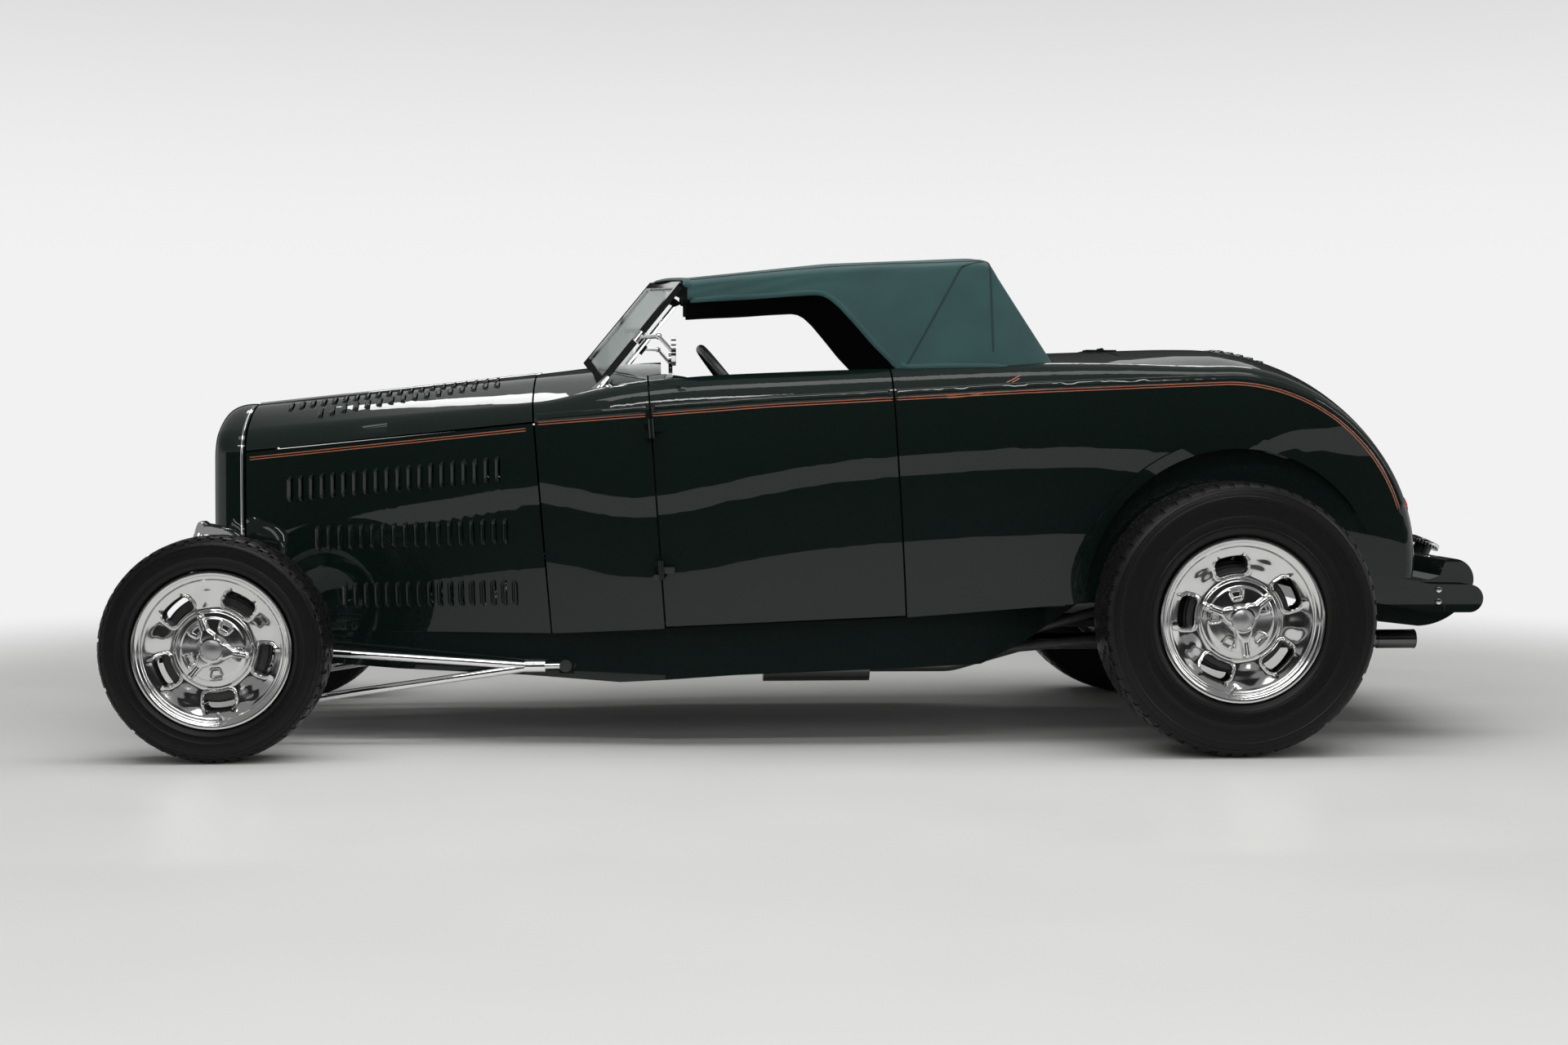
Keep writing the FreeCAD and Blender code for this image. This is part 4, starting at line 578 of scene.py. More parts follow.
def seam(name, line, width, rise, finish=None):
    points = [topSurface(x, v) for x, v in line]
    normals = [topNormal(x, v) for x, v in line]
    addPiece(name, strap(points, normals, width, rise, 5), "top_fabric", 60, finish)


# seam strips drawn in the darker thread colour, which also paints the shade of the creases along them
def stitchesWithCreaseShade(name, line):
    seam(name, line, 0.006, 0.002, "seamThreadAndCreaseShade")


edgeV, hemV = (inner + 1.2) / half, 0.985
for sideName, side in sides:
    stitchesWithCreaseShade("railSeam" + sideName, [(x, side * edgeV) for x in range(1150, 2056, 12)])
    stitchesWithCreaseShade("quarterSeam" + sideName, [
        (2052 - 236 * k / 40, side * (edgeV + (hemV - edgeV) * k / 40)) for k in range(41)])
    seam("sideHem" + sideName, [(x, side * hemV) for x in range(1146, 1800, 10)], 0.016, 0.0022)
    seam("bottomHem" + sideName, [(x, side * 0.972) for x in range(1808, 2228, 10)], 0.02, 0.0042)
stitchesWithCreaseShade("rearBowSeam", [(2061, -0.93 + 1.86 * k / 90) for k in range(91)])
seam("headerRoll", [(1148, -0.97 + 1.94 * k / 90) for k in range(91)], 0.02, 0.005)
seam("windowBindingTop", [(windowFront - 3, windowHalf * 1.55 * (-1 + 2 * k / 30)) for k in range(31)],
     0.014, 0.002)
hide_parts("soft_top")

# ---- rubber seals that close the shut lines from behind
seal = {"width": 0.024, "deep": 0.046, "thick": 0.01}
shutLines = [("front", [(1179.5 - (z - 250) * 0.0681, z) for z in range(345, 1001, 40)]),
             ("rear", [(1834 - (z - 330) * 0.0696, z) for z in range(368, 1001, 40)])]
for sideName, side in sides:
    tree = skinOf("cowl", "door_" + sideName.lower(), "rear_body")
    for endName, line in shutLines:
        points = []
        for x, z in line:
            near = [onSide(tree, x + shift, z, side) for shift in (-16, 16)]
            if all(near) and min(abs(hit[0].y) for hit in near) > 0.5:
                points.append((near[0][0] + near[1][0]) / 2 - Vector((0, side * seal["deep"], 0)))
        mesh = strap(points, [Vector((0, side, 0))] * len(points), seal["width"], seal["thick"], 5)
        addPiece("doorSeal" + endName.capitalize() + sideName, mesh, "tyre_rubber", 60,
                 "darkRubber")

# ---- headlights: spun shell, bright rim, reflector behind a clear lens
lamp = {"x": -95, "y": 420, "z": 525, "steps": 64, "standX": -45,
        "stand": ((330, 272), (366, 276), (396, 292), (414, 322), (420, 360), (420, 448))}
lampParts = (
    ("Shell", "bright_chrome", None, False, [
        (0.0845, 0.012), (0.09, 0.008), (0.0915, 0.01), (0.0922, 0.014), (0.088, 0.02), (0.085, 0.024),
        (0.0835, 0.034), (0.079, 0.056), (0.071, 0.08), (0.058, 0.104), (0.04, 0.124), (0.02, 0.135),
        (0, 0.139)]),
    ("Rim", "bright_chrome", None, True, [
        (0.079, -0.003), (0.0835, -0.006), (0.088, -0.004), (0.0912, 0.002), (0.0918, 0.008),
        (0.0895, 0.0125), (0.083, 0.012), (0.079, 0.004)]),
    ("Lens", "tinted_glass", "clearLens", False, [
        (0, -0.0265), (0.022, -0.025), (0.044, -0.0205), (0.062, -0.0135), (0.074, -0.0062),
        (0.0805, 0.0), (0.0805, 0.0035), (0.072, -0.0028), (0.06, -0.01), (0.043, -0.0168),
        (0.022, -0.0212), (0, -0.0225)]),
    ("Bowl", "bright_chrome", "mirrorBowl", False, [
        (0.08, 0.004), (0.074, 0.014), (0.062, 0.03), (0.045, 0.045), (0.026, 0.055), (0.012, 0.059),
        (0, 0.06)]))
for sideName, side in sides:
    centre = behind(lamp["x"], side * lamp["y"], lamp["z"])
    made = {name: spun("lamp" + name + sideName, line, centre, (1, 0, 0), lamp["steps"], slotName, closed,
                       finish=finish) for name, slotName, finish, closed, line in lampParts}
    made["Bowl"].modifiers.new("wall", "SOLIDIFY").thickness = 0.0012
    mesh = capsule(bmesh.new(), centre + Vector((0.018, 0, 0)), centre + Vector((0.056, 0, 0)), 0.008)
    addPiece("lampBulb" + sideName, mesh, "bright_chrome", finish="frostedBulb")
    mesh = tube(bmesh.new(), [behind(lamp["standX"], side * y, z) for y, z in lamp["stand"]], 0.0105, 16)
    turnProfile(mesh, [(0, 0), (0.019, 0), (0.021, 0.004), (0.017, 0.012), (0.0115, 0.018), (0, 0.018)],
                behind(lamp["standX"], side * 420, 436), (0, 0, 1), 24)
    addPiece("lampStand" + sideName, mesh, "bright_chrome")
    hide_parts("headlights")
print("headlights")

# ---- tail lights: a ribbed red dome in a bright ring
domeLine = [(0.0295, 0.0), (0.029, 0.0035), (0.0265, 0.0075), (0.0235, 0.0095), (0.022, 0.009),
            (0.018, 0.0118), (0.0165, 0.0112), (0.011, 0.0135), (0.0095, 0.013), (0.005, 0.0145),
            (0, 0.0148)]
ringLine = [(0.0285, -0.002), (0.029, 0.004), (0.031, 0.006), (0.0335, 0.005), (0.035, 0.001),
            (0.035, -0.002)]
for sideName, side in sides:
    start = Vector((rearAxle.x + 0.9, side * 0.402, 0.653))
    foot, out = firstHit(skinOf("rear_body"), start, Vector((-1, 0, 0)))
    mesh = turnProfile(bmesh.new(), domeLine, foot, out, 40)
    bmesh.ops.holes_fill(mesh, edges=mesh.edges, sides=60)
    dome = addPiece("tailLens" + sideName, mesh, "red_lens", 50)
    spun("tailRing" + sideName, ringLine, foot, out, 40, "bright_chrome", True, 50)
    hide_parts("tail_lights")

# ---- small bright work: bolts, valve stems, mirror glass
railTree = skinOf("frame_rails")
bolts, joints = bmesh.new(), bmesh.new()
for side in (-1, 1):
    for x, z, across in ((3324, 421, 0.017), (3324, 388, 0.017), (-196, 268, 0.013), (-180, 240, 0.013)):
        found = onSide(railTree, x, z, side)
        if found:
            hexBolt(bolts, found[0], Vector((0, side, 0)), across, 0.006)
    strap(*followed(railTree, [(3342, 362 + 3.5 * k) for k in range(21)], side), 0.0022, 0.0003, 3, joints,
          0.0001)
addPiece("frameBolts", bolts, "bright_chrome", 30)
addPiece("hornJoints", joints, "axle_paint", finish="darkRubber")
neckLean = 0.436
neckFoot = rearAxle + Vector((0.705, -0.11, 0.105))
neckWay = Vector((sin(neckLean), 0, cos(neckLean)))
capLine = [(0, 0.0745), (0.014, 0.0745), (0.016, 0.0752), (0.03, 0.0752), (0.034, 0.0746), (0.04, 0.075),
           (0.0434, 0.073), (0.0436, 0.069), (0.0432, 0.0665)]
spun("fillerCap", capLine, neckFoot, neckWay, 64, "bright_chrome")
mesh = bmesh.new()
for k in range(28):
    turn = tau * k / 28
    across = Vector((neckWay.z * cos(turn), sin(turn), -neckWay.x * cos(turn)))
    foot = neckFoot + across * 0.0432
    capsule(mesh, foot + neckWay * 0.059, foot + neckWay * 0.0665, 0.0013, 6)
addPiece("fillerGrip", mesh, "bright_chrome")
mesh = bmesh.new()
lipLine = [(0.0235, -0.004), (0.0262, -0.004), (0.0276, -0.002), (0.0278, 0), (0.0268, 0.0018),
           (0.025, 0.0022), (0.0235, 0.0012)]
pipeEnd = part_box("exhausts")[1][0]
for side in (-1, 1):
    turnProfile(mesh, lipLine, (pipeEnd - 0.0016, side * 0.35, 0.268), (1, 0, 0), 40, True)
addPiece("exhaustLips", mesh, "exhaust_steel", 60)
for tag, corner, spec, side, centre in wheels:
    turn = radians(spec["valve"])
    inward = Vector((-cos(turn), 0, -sin(turn)))
    foot = centre - inward * (spec["seat"] - 0.03) + Vector((0, side * (spec["half"] - 0.036), 0))
    stem = inward * 0.012 + Vector((0, side * 0.03, 0))
    mesh = capsule(bmesh.new(), foot, foot + stem, 0.0042, 14)
    capsule(mesh, foot + stem * 0.62, foot + stem * 1.12, 0.0052, 14)
    addPiece(tag + "Valve", mesh, "bare_steel", body=corner + "_wheel")
for sideName, side in sides:
    spun("mirrorGlass" + sideName, [(0, 0.0006), (0.0335, 0.0006), (0.0345, 0.0)],
         behind(1204, side * 608, 1076), (1, 0, 0), 48, "bright_chrome", crease=60,
         finish="mirrorBowl")
print("bright work")


# ---- rear window: a clear pane set into the sheet
def placePane(row, column):
    x = windowFront - 6 + (windowRear - windowFront + 12) * row / 7
    return topSurface(x, (column / 15 * 2 - 1) * 0.36) - Vector((0.0035, 0, 0.002))


addPiece("rearPane", placedGrid(8, 16, placePane), "tinted_glass", 60, "clearPane")

# ---- wheels: a dished face with five lipped windows, a stepped hub and a three-arm spinner
dish = [(220.5, -8), (220.5, -3), (218.8, 0.1), (214, 1), (209.5, 0.2), (206, -2.6), (204, -5),
        (200, -5.6), (196.5, -7.5), (194, -14), (191.5, -17), (187, -17.6), (182, -20.5), (176, -25),
        (166, -29), (150, -33), (130, -36.5), (116, -38), (109, -36.4), (105.5, -31.5), (102, -29.2),
        (97, -28.8), (90, -28), (86, -25), (80, -24), (60, -21.5), (45, -20), (0, -19)]
wheelFace = {"windowIn": 123, "windowOut": 169, "windowHalf": 16.5, "corner": 15, "wallDeep": 34, "lip": 7.5,
             "spokeRise": 7, "armTip": 107, "capOut": 36, "capIn": 28, "around": 320,
             "wallWide": 3.4, "snap": 1.15, "snapFrom": 24, "snapTo": 176}
windowMiddle = (wheelFace["windowIn"] + wheelFace["windowOut"]) / 2


def ease(value, low, high):
    t = min(1, max(0, (value - low) / (high - low)))
    return t * t * (3 - 2 * t)


def onLine(line, r):
    for (far, high), (near, low) in zip(line, line[1:]):
        if r >= near:
            t = (r - near) / (far - near) if far > near else 0
            return low + (high - low) * min(1, t)
    return line[-1][1]


def nearTurn(angle, turns):
    return min(((angle - turn + 180) % 360 - 180 for turn in turns), key=abs)


def roundedBox(u, v, halfU, halfV, corner):
    a, b = abs(u) - halfU + corner, abs(v) - halfV + corner
    return hypot(max(a, 0), max(b, 0)) + min(max(a, b), 0) - corner


def offTurn(x, z, turns):
    return radians(nearTurn(degrees(atan2(z, x)), turns))


def windowEdge(x, z, turns):
    off = offTurn(x, z, turns)
    out = hypot(x, z) - windowMiddle
    return roundedBox(out, (windowMiddle + out * 0.75) * off, windowMiddle - wheelFace["windowIn"],
                      windowMiddle * radians(wheelFace["windowHalf"]), wheelFace["corner"])


def armEdge(x, z, turns):
    r, off = hypot(x, z), offTurn(x, z, turns)
    along, across = r * cos(off), r * sin(off)
    width = 25 - 12 * ease(along, 34, 60) - 3 * ease(along, 60, wheelFace["armTip"])
    tip = wheelFace["armTip"] - width
    if along > tip:
        return hypot(along - tip, across) - width
    return abs(across) - width


def faceHeight(x, z, windows, arms):
    r, off = hypot(x, z), offTurn(x, z, windows)
    edge = windowEdge(x, z, windows)
    spoke = ease(degrees(abs(off)), 19, 36) * ease(r, 112, 140) * (1 - ease(r, 160, 190))
    w = onLine(dish, r) + wheelFace["spokeRise"] * spoke
    w += wheelFace["lip"] * exp(-((edge - 4.2) / 3.2) ** 2)
    w -= wheelFace["wallDeep"] * ease(-edge, 0, wheelFace["wallWide"])
    pocket = roundedBox(r - 68, r * off, 13, 15 + 0.3 * (r - 68), 6)
    w -= 8.5 * ease(-pocket, -1, 6) - 1.6 * exp(-((pocket - 2.2) / 1.6) ** 2)
    edge = armEdge(x, z, arms)
    if edge < 0 and r > 20:
        ridge = -1.5 - 6 * ease(r, 30, 112)
        t = min(1, -edge / 9)
        w = max(w, w + (ridge - w) * (0.8 * ease(t, 0, 0.4) + 0.2 * t))
    if r < wheelFace["capOut"]:
        t = min(1, (wheelFace["capOut"] - r) / 4)
        w = max(w, -20 + 19.4 * sqrt(1 - (1 - t) ** 2))
        w -= 1.8 * ease(wheelFace["capIn"] - r, -0.6, 0.8)
    return w


def faceMesh(scale, windows, arms, place):
    radii = [r for r, w in dish[2:13]] + [171 - 2.15 * k for k in range(65)]
    radii = [dish[0][0]] + sorted(set(radii + [29.4, 28.4, 27.6, 26, 20, 12, 5]), reverse=True)
    count, wallFoot = wheelFace["around"], -wheelFace["wallWide"]
    spots = {}
    for row, r in enumerate(radii):
        for column in range(count):
            turn = tau * column / count
            x, z = r * cos(turn), r * sin(turn)
            for edgeOf, turns, level in ((windowEdge, windows, 0), (windowEdge, windows, wallFoot),
                                         (armEdge, arms, 0)):
                d = edgeOf(x, z, turns) - level  # a point close to an edge is moved onto it
                if wheelFace["snapFrom"] < r < wheelFace["snapTo"] and abs(d) < wheelFace["snap"]:
                    gx = edgeOf(x + 0.1, z, turns) - level - d
                    gz = edgeOf(x, z + 0.1, turns) - level - d
                    steep = hypot(gx, gz) or 1
                    x, z = x - gx / steep * d, z - gz / steep * d
            spots[row, column] = x, z

    def spot(row, column):
        x, z = spots[row, column % count]
        return place(x * scale, z * scale, dish[0][1] if row == 0 else faceHeight(x, z, windows, arms))

    return merged(placedGrid(len(radii), count + 1, spot))


def openWindows(mesh, centre, scale, windows):
    def farthest(face):
        spots = [(v.co - centre) * 1000 / scale for v in face.verts]
        return max(windowEdge(spot.x, spot.z, windows) for spot in spots)

    deep = [face for face in mesh.faces if farthest(face) < -3.2]
    bmesh.ops.delete(mesh, geom=deep, context="FACES")


# radius and height over the wheel's outer edge; the barrel's radii count from the rim's, and barrelBack's
# heights from the inner edge
barrelFront = [(-26, -62), (-34, -52), (-42, -44), (-36, -30), (-30, -24), (0, -8), (-16, -9)]
barrelBack = [(-16, 7), (0, 7), (0, 0), (-7, 0), (-12, 2), (-22, 8), (-26, 26)]
drumLoop = [(31, -108), (66, -108), (76, -98), (80, -86), (132, -84), (138, -80), (140, -74), (143, -73),
            (143, -69), (140, -68), (140, -63), (137, -58), (120, -56), (117, -59), (84, -59), (78, -54),
            (31, -53)]
for tag, corner, spec, side, centre in wheels:
    size, scale, arms, body = spec["rim"], spec["rim"] / dish[0][0], spec["arms"], corner + "_wheel"
    edgeOut = spec["half"] * 1000 - 16
    windows = [spec["windows"] + 72 * k for k in range(5)]
    out = Vector((0, side, 0))
    mesh = faceMesh(scale, windows, arms,
                    lambda x, z, w: centre + Vector((x, side * (edgeOut + w), z)) / 1000)
    openWindows(mesh, centre, scale, windows)
    bmesh.ops.holes_fill(mesh, edges=[e for e in mesh.edges if e.is_boundary and max(
        (v.co - centre).xz.length for v in e.verts) < 0.01], sides=0)
    facePiece = addPiece(tag + "WheelFace", mesh, "polished_alloy", 50, body=body)
    barrel = [((size + r) / 1000, (edge + w) / 1000)
              for edge, line in ((edgeOut, barrelFront), (-edgeOut, barrelBack)) for r, w in line]
    spun(tag + "Barrel", barrel, centre, out, 96, "polished_alloy", True, body=body)
    drum = [(r / 1000, (edgeOut + w) / 1000) for r, w in drumLoop]
    spun(tag + "Drum", drum, centre, out, 72, "axle_paint", True, body=body)
    for name, width, rise, slotName, finish in (
            ("ArmSlots", 0.0105, 0.001, "axle_paint", "darkRubber"),
            ("ArmInlays", 0.0048, 0.0016, "polished_alloy", None)):
        mesh = bmesh.new()
        for turn in arms:
            way = Vector((cos(radians(turn)), 0, sin(radians(turn))))
            points = [centre + way * r * scale / 1000 + out * (edgeOut - 1.5 - 6 * ease(r, 30, 112)) / 1000
                      for r in range(58, 95, 3)]
            strap(points, [out] * len(points), width, rise, 7, mesh)
        addPiece(tag + name, mesh, slotName, 60, finish, body)
    spun(tag + "CapDisc", [(0, 0), (0.0272, 0), (0.0279, -0.001)], centre + out * (edgeOut - 2.1) / 1000, out,
         48, "bare_steel", crease=60, body=body)
    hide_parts(corner + "_rim")
print("wheel faces")

# ---- seats: padded hide blown up by a cloth run, then sewn into channels
hide = {"voxel": 0.008, "pressure": 4, "cap": 0.024, "pleat": 0.064, "pleatDeep": 0.0075, "pleatSoft": 0.0052,
        "bolster": 0.052, "quality": 4, "frames": 20}


def cushionBlock(side, half):
    # side outline (x, z) in millimetres carried across the car, corners rounded
    mesh = bmesh.new()
    rows = [[mesh.verts.new(behind(x, y, z)) for x, z in side] for y in (-half, half)]
    mesh.faces.new(rows[0])
    mesh.faces.new(rows[1][::-1])
    for k in range(len(side)):
        far = (k + 1) % len(side)
        mesh.faces.new((rows[0][far], rows[0][k], rows[1][k], rows[1][far]))
    softened(mesh, list(mesh.edges), 0.022, 4)
    bmesh.ops.recalc_face_normals(mesh, faces=mesh.faces)
    return mesh


def bakedMesh(thing):
    bpy.context.view_layer.update()
    seen = thing.evaluated_get(bpy.context.evaluated_depsgraph_get())
    data = bpy.data.meshes.new_from_object(seen)
    old = thing.data
    thing.modifiers.clear()
    thing.data = data
    bpy.data.meshes.remove(old)
    return data


def puffed(name, mesh, low, high):
    thing = linked(name, mesh)
    remesh = thing.modifiers.new("voxels", "REMESH")
    remesh.mode = "VOXEL"
    remesh.voxel_size = hide["voxel"]
    data = bakedMesh(thing)
    before = [v.co.copy() for v in data.vertices]
    cloth = thing.modifiers.new("padding", "CLOTH")
    cloth.settings.use_pressure = True
    cloth.settings.uniform_pressure_force = hide["pressure"]
    cloth.settings.effector_weights.gravity = 0
    cloth.settings.quality = hide["quality"]
    cloth.point_cache.frame_start, cloth.point_cache.frame_end = 1, hide["frames"]
    for frameNumber in range(1, hide["frames"] + 1):
        scene.frame_set(frameNumber)
    data = bakedMesh(thing)
    scene.frame_set(1)
    for vert, old in zip(data.vertices, before):
        shift = vert.co - old
        if shift.length > hide["cap"]:
            vert.co = old + shift.normalized() * hide["cap"]
        for axis in range(3):
            vert.co[axis] = min(high[axis], max(low[axis], vert.co[axis]))
    smooth = thing.modifiers.new("subdivision", "SUBSURF")
    smooth.levels = smooth.render_levels = 1
    bakedMesh(thing)
    return thing


def sewn(thing, faceWay, ends, half):
    # channels run up the face, and stop at a rounded border
    along = Vector((-faceWay.z, 0, faceWay.x))
    reach = (ends[1] - ends[0]).dot(along)
    data = thing.data
    moves = []
    for vert in data.vertices:
        run = (vert.co - ends[0]).dot(along)
        room = half - hide["bolster"] - abs(vert.co.y)
        inside = ease(min(run, reach - run), 0.0, 0.022) * ease(room, 0, 0.012)
        off = abs((vert.co.y / hide["pleat"] + 0.5) % 1 - 0.5) * hide["pleat"]
        groove = exp(-(off / hide["pleatSoft"]) ** 2) * inside
        border = min(abs(run), abs(reach - run), abs(room))
        if min(run, reach - run, room) > -0.004:
            groove = max(groove, exp(-(border / 0.005) ** 2))
        facing = ease(max(0, vert.normal.dot(faceWay)), 0.35, 0.8)
        moves.append(-faceWay * hide["pleatDeep"] * groove * facing)
    for vert, move in zip(data.vertices, moves):
        vert.co += move
    data.update()


for name, node, outline, wide, low, high, way, ends in (
        ("seatCushionPad", "seat_cushion",
         [(1664, 446), (2118, 446), (2118, 572), (1700, 580), (1664, 552)], 508,
         behind(1650, -520, 436.5), behind(2130, 520, 592), (0.02, 0, 1),
         (behind(2040, 0, 590), behind(1690, 0, 590))),
        ("seatBackPad", "seat_back",
         [(2046, 594), (2134, 594), (2150, 600), (2176, 925), (2160, 952), (2108, 944)], 513,
         behind(2030, -525, 580.5), behind(2195, 525, 965), (-1, 0, 0.19),
         (behind(2040, 0, 625), behind(2104, 0, 930)))):
    pad = puffed(name, cushionBlock(outline, wide), low, high)
    sewn(pad, Vector(way).normalized(), ends, high.y)
    dressed(pad, "seat_leather")
    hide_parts(node)
print("seats")

# ---- the short copper line that climbs to the deck behind the cockpit
branch = [k / 28 for k in range(29)]
for sideName, side in sides:
    copperPair("pinstripeBranch" + sideName, skinOf("rear_body"), side, lambda drop: [
        (1925 + 205 * t, 958 - drop + 10 * t + 46 * t ** 2.4) for t in branch])

# ---- bright sleeve on the hood's hinge rod, and a polished bead where the hood meets the shell
mesh = capsule(bmesh.new(), behind(1.5, 0, 938.2), behind(816, 0, 1027), 0.0063, 20)
addPiece("hoodHingeSleeve", mesh, "bright_chrome")
shellTree = skinOf("grille_shell")
for sideName, side in sides:
    found = []
    for k in range(70):
        turn = radians(-58 + 146 * k / 69)
        way = Vector((0, side * cos(turn), sin(turn)))
        found.append(firstHit(shellTree, behind(-7, side * 60, 700) + way * 0.9, -way))
    mesh = strap(*zip(*[hit for hit in found if hit and hit[0].z > 0.33]), 0.006, 0.0016, 7)
    addPiece("shellBead" + sideName, mesh, "bright_chrome", 60)

# ---- cabin: pleated door cards, dials, gear lever and pedals
card = {"low": 430, "high": 915, "front": 1215, "rear": 1752, "rows": 22, "columns": 96, "pleat": 0.058}
for sideName, side in sides:
    tree = skinOf("door_" + sideName.lower())

    def onCard(row, column):
        z = card["low"] + (card["high"] - card["low"]) * row / (card["rows"] - 1)
        lean = -(z - 330) * 0.069
        x = card["front"] + lean + (card["rear"] - card["front"]) * column / (card["columns"] - 1)
        place = behind(x, side * 300, z)
        hit = tree.ray_cast(place, Vector((0, side, 0)))[0]
        y = hit.y if hit and abs(hit.y) > 0.42 else side * 0.575
        rim = min(row, card["rows"] - 1 - row, column / 3, (card["columns"] - 1 - column) / 3)
        across = abs((place.x / card["pleat"]) % 1 - 0.5) * 2
        puff = 0.0075 - 0.0045 * across ** 4 if 2 < row < card["rows"] - 3 else 0.0055
        place.y = y - side * (puff if rim >= 1 else -0.0006)
        return place

    addPiece("doorCard" + sideName, placedGrid(card["rows"], card["columns"], onCard),
             "seat_leather", 60, body=sideName.lower() + "_door")
out = Vector((1, 0, 0))
for name, y, z, radius in (("Speed", -310, 935, 40), ("Revs", -425, 930, 40), ("Fuel", -90, 945, 27),
                           ("Heat", 0, 948, 27), ("Volts", 90, 945, 27)):
    foot, middle = behind(1125.5, y, z), behind(1127.8, y, z)
    rim = [((radius + r) / 1000, w) for r, w in ((-3, 0), (-3.5, 0.006), (-1, 0.0085), (2, 0.007),
                                                 (4, 0.0015), (4, 0))]
    spun("dial" + name + "Rim", rim, foot, out, 48, "bright_chrome", True)
    inside = (radius - 3.2) / 1000
    spun("dial" + name + "Face", [(0, 0.0022), (inside, 0.0022), (inside, 0)], foot, out, 40, "wheel_grip")
    mesh = bmesh.new()
    for k in range(11):
        turn = radians(225 - 27 * k)
        way = Vector((0, cos(turn), sin(turn)))
        ends = [middle + way * (radius - inset) / 1000 for inset in (10, 5)]
        strap(ends, [out] * 2, 0.0012, 0.0003, 3, mesh, 0)
    needle = [middle + Vector((0, -0.6, 0.8)) * 0.003 * k for k in range(-2, int(radius / 3) - 3)]
    strap(needle, [out] * len(needle), 0.0018, 0.0012, 5, mesh, 0)
    capsule(mesh, middle, middle + out * 0.003, 0.004, 16)
    addPiece("dial" + name + "Marks", mesh, "bright_chrome", finish="frostedBulb")
leverPath = [behind(1330, 0, 452), behind(1345, 0, 520), behind(1385, -12, 590), behind(1420, -22, 655),
             behind(1432, -25, 700)]
mesh = tube(bmesh.new(), leverPath, 0.0065, 14)
turnProfile(mesh, [(0, 0), (0.03, 0.0), (0.036, 0.006), (0.03, 0.018), (0.018, 0.034), (0.01, 0.042),
                   (0, 0.044)], behind(1330, 0, 440), (0, 0, 1), 28)
addPiece("gearLever", mesh, "bright_chrome")
knob = [(0, -0.019), (0.008, -0.018), (0.016, -0.011), (0.02, 0), (0.017, 0.011), (0.009, 0.018), (0, 0.02)]
spun("gearKnob", knob, behind(1433, -25, 708), (0.1, 0, 1), 32, "wheel_grip", crease=60)
mesh = bmesh.new()
for y, z, width, height in ((-235, 432, 0.046, 0.11), (-345, 470, 0.06, 0.058)):
    pad = bmesh.ops.create_cube(mesh, size=1)["verts"]
    for vert in pad:
        a, b, c = vert.co
        vert.co = behind(985, y, z) + Vector((a * 0.012 - c * height * 0.42, b * width, c * height))
    softened(mesh, edgesOf(pad), 0.003, 3)
    arm = ((975, 0), (940, 60), (925, 150), (922, 230))
    tube(mesh, [behind(x, y, z + up) for x, up in arm], 0.006, 12)
addPiece("pedals", mesh, "axle_paint")
print("cabin pieces")

# ---- studio: a pale floor that fades into a pale horizon, and soft lamps
studio = {"floor": (0.44, 0.44, 0.43), "floorSize": 80, "fadeFrom": 2.3, "fadeTo": 5.2, "horizon": 0.9,
          "ceiling": 0.26, "ceilingFrom": 0.06, "ceilingTo": 0.42}
paleLight = (0.98, 0.985, 0.98, 1)


def flatSheet(name, place):
    mesh = bmesh.new()
    bmesh.ops.create_grid(mesh, x_segments=1, y_segments=1, size=1)
    for vert in mesh.verts:
        vert.co = place(vert.co.x, vert.co.y)
    return linked(name, mesh)


def softStep(tree, source, **values):
    node = addNode(tree, "MapRange", source, **values)
    node.interpolation_type = "SMOOTHSTEP"
    return node.outputs["Result"]


floorHalf = studio["floorSize"] / 2
floor = flatSheet("studioFloor", lambda a, b: Vector((a * floorHalf, b * floorHalf, 0)))
floorFinish, tree, bsdf = shader("studioFloor", studio["floor"], 0.35, Specular_IOR_Level=0.15)
unevenGloss(tree, bsdf, 2, 4, 0.26, 0.4)
reach = addNode(tree, "VectorMath", ownPlace(tree))
reach.operation = "LENGTH"
fade = softStep(tree, reach.outputs["Value"], From_Min=studio["fadeFrom"], From_Max=studio["fadeTo"])
glow = addNode(tree, "Emission", Color=paleLight, Strength=studio["horizon"])
mix = addNode(tree, "MixShader", fade, bsdf.outputs["BSDF"], glow.outputs["Emission"])
tree.links.new(mix.outputs["Shader"], tree.nodes["Material Output"].inputs["Surface"])
floor.data.materials.append(floorFinish)

scene.world = bpy.data.worlds.new("studioSky")
scene.world.use_nodes = True
sky = scene.world.node_tree
height = addNode(sky, "SeparateXYZ", addNode(sky, "TexCoord").outputs["Generated"])
fall = softStep(sky, height.outputs["Z"], From_Min=studio["ceilingFrom"], From_Max=studio["ceilingTo"],
                To_Min=studio["horizon"], To_Max=studio["ceiling"])  # pale at the horizon, dim above
background = filled(sky.nodes["Background"], {"Color": paleLight})
sky.links.new(fall, background.inputs["Strength"])


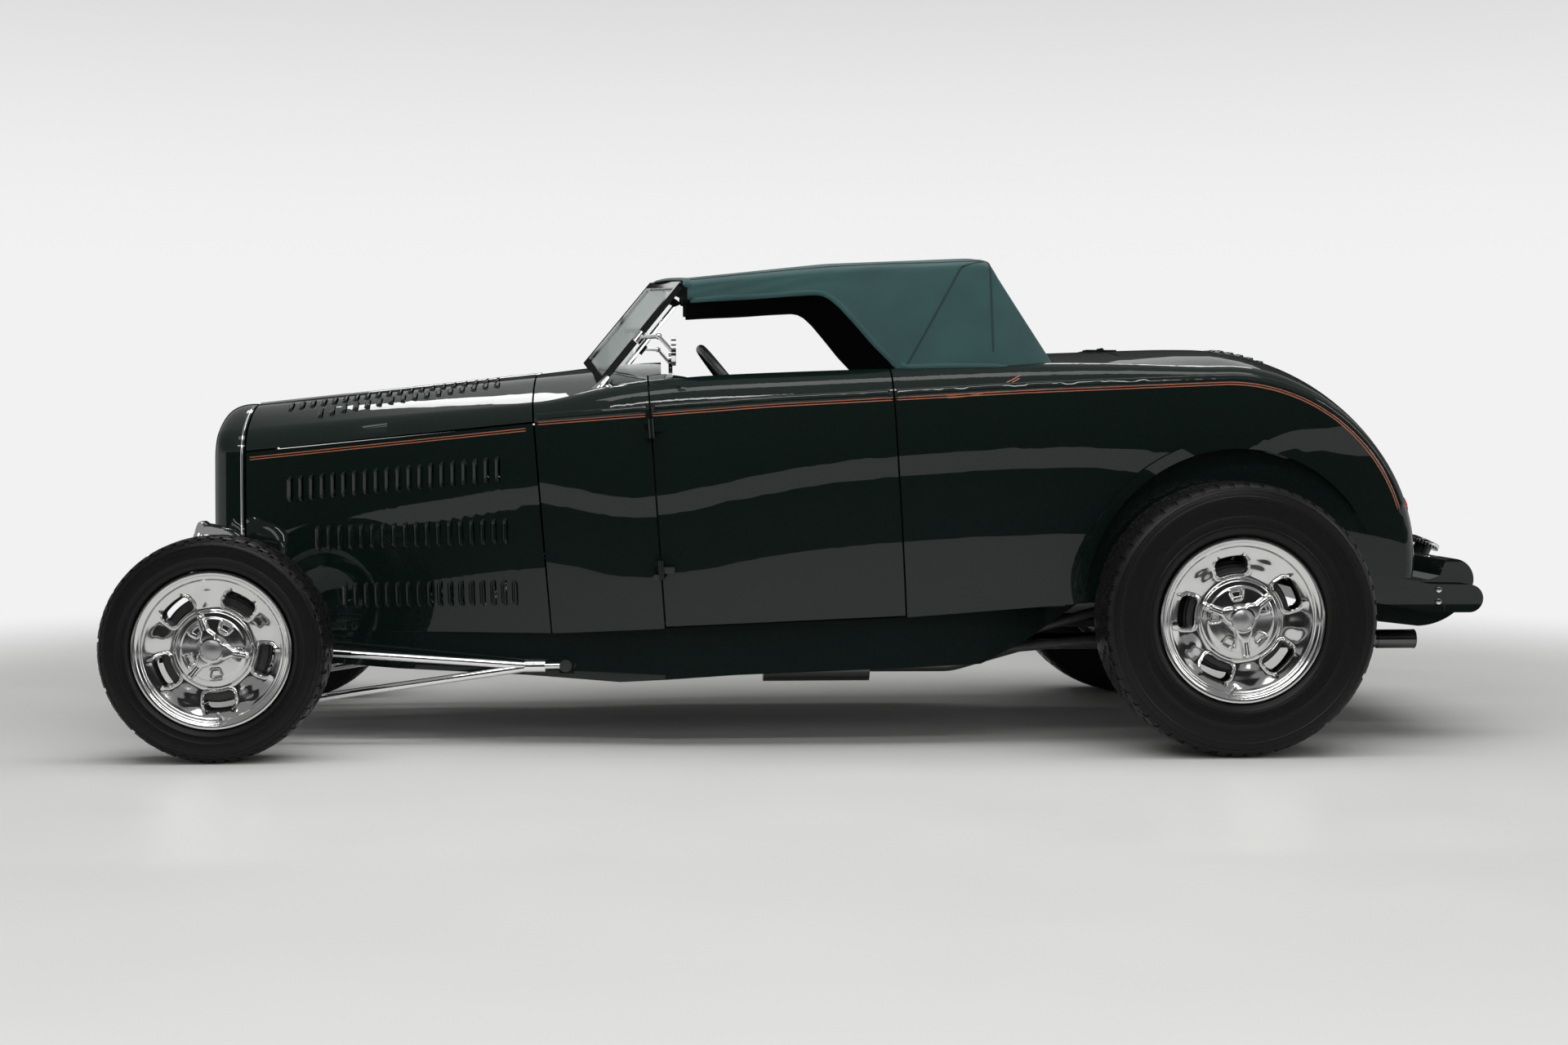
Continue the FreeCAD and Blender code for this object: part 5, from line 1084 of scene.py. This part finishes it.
def softLamp(name, place, aim, size, power, inGloss=True, onMatt=True):
    light = bpy.data.lights.new(name, "AREA")
    light.shape = "RECTANGLE"
    light.size, light.size_y = size
    light.energy = power
    lamp = bpy.data.objects.new(name, light)
    lamp.location = place
    lamp.rotation_euler = (Vector(aim) - Vector(place)).to_track_quat("-Z", "Y").to_euler()
    lamp.visible_glossy, lamp.visible_diffuse = inGloss, onMatt
    scene.collection.objects.link(lamp)


cardFinish = mottled("darkCard", (0.002,) * 3, (0.004,) * 3, 0.9, 3, 0.001)


def darkCard(name, middle, size):  # a dark panel out of sight, there for gloss and metal to mirror
    card = flatSheet(name, lambda a, b: Vector(middle) + Vector((a * size[0], b * size[1], b * size[2])))
    card.data.materials.append(cardFinish)
    card.visible_camera = card.visible_diffuse = card.visible_transmission = card.visible_shadow = False


for cardName, cardSide in (("near", -1), ("far", 1)):
    darkCard(cardName + "Card", (0, cardSide * 8.5, 1.7), (11, 0, 1.7))
    darkCard(cardName + "Lip", (0, cardSide * 3.6, 0.01), (11, 1.5, 0))
softLamp("overhead", (0, -0.8, 5.0), (0, 0, 0.3), (8.0, 4.0), 400, False)
softLamp("sideFill", (0.5, -6.5, 2.6), (0, 0, 0.5), (8.0, 2.0), 130, False)
softLamp("stripNear", (-0.2, -3.4, 3.1), (0, 0, 0.9), (4.6, 0.28), 60)
softLamp("stripAbove", (0.2, -1.3, 4.2), (0, 0, 0.9), (5.2, 0.9), 42)
softLamp("stripFar", (0.2, 3.2, 3.6), (0, 0, 0.9), (5.2, 0.5), 36)
softLamp("stripRear", (4.6, -2.2, 2.4), (1.4, 0, 0.7), (0.3, 2.4), 26, onMatt=False)

camera = bpy.data.cameras.new("camera")
camera.lens = 52.2
camera.sensor_width = 36
cameraObject = bpy.data.objects.new("camera", camera)
cameraObject.location = (-0.43, -6.724, 0.8816)
cameraObject.rotation_euler = (radians(90 - 2.48), 0, radians(-3.245))
scene.collection.objects.link(cameraObject)
scene.camera = cameraObject
scene.view_settings.view_transform = "Standard"
print("studio")
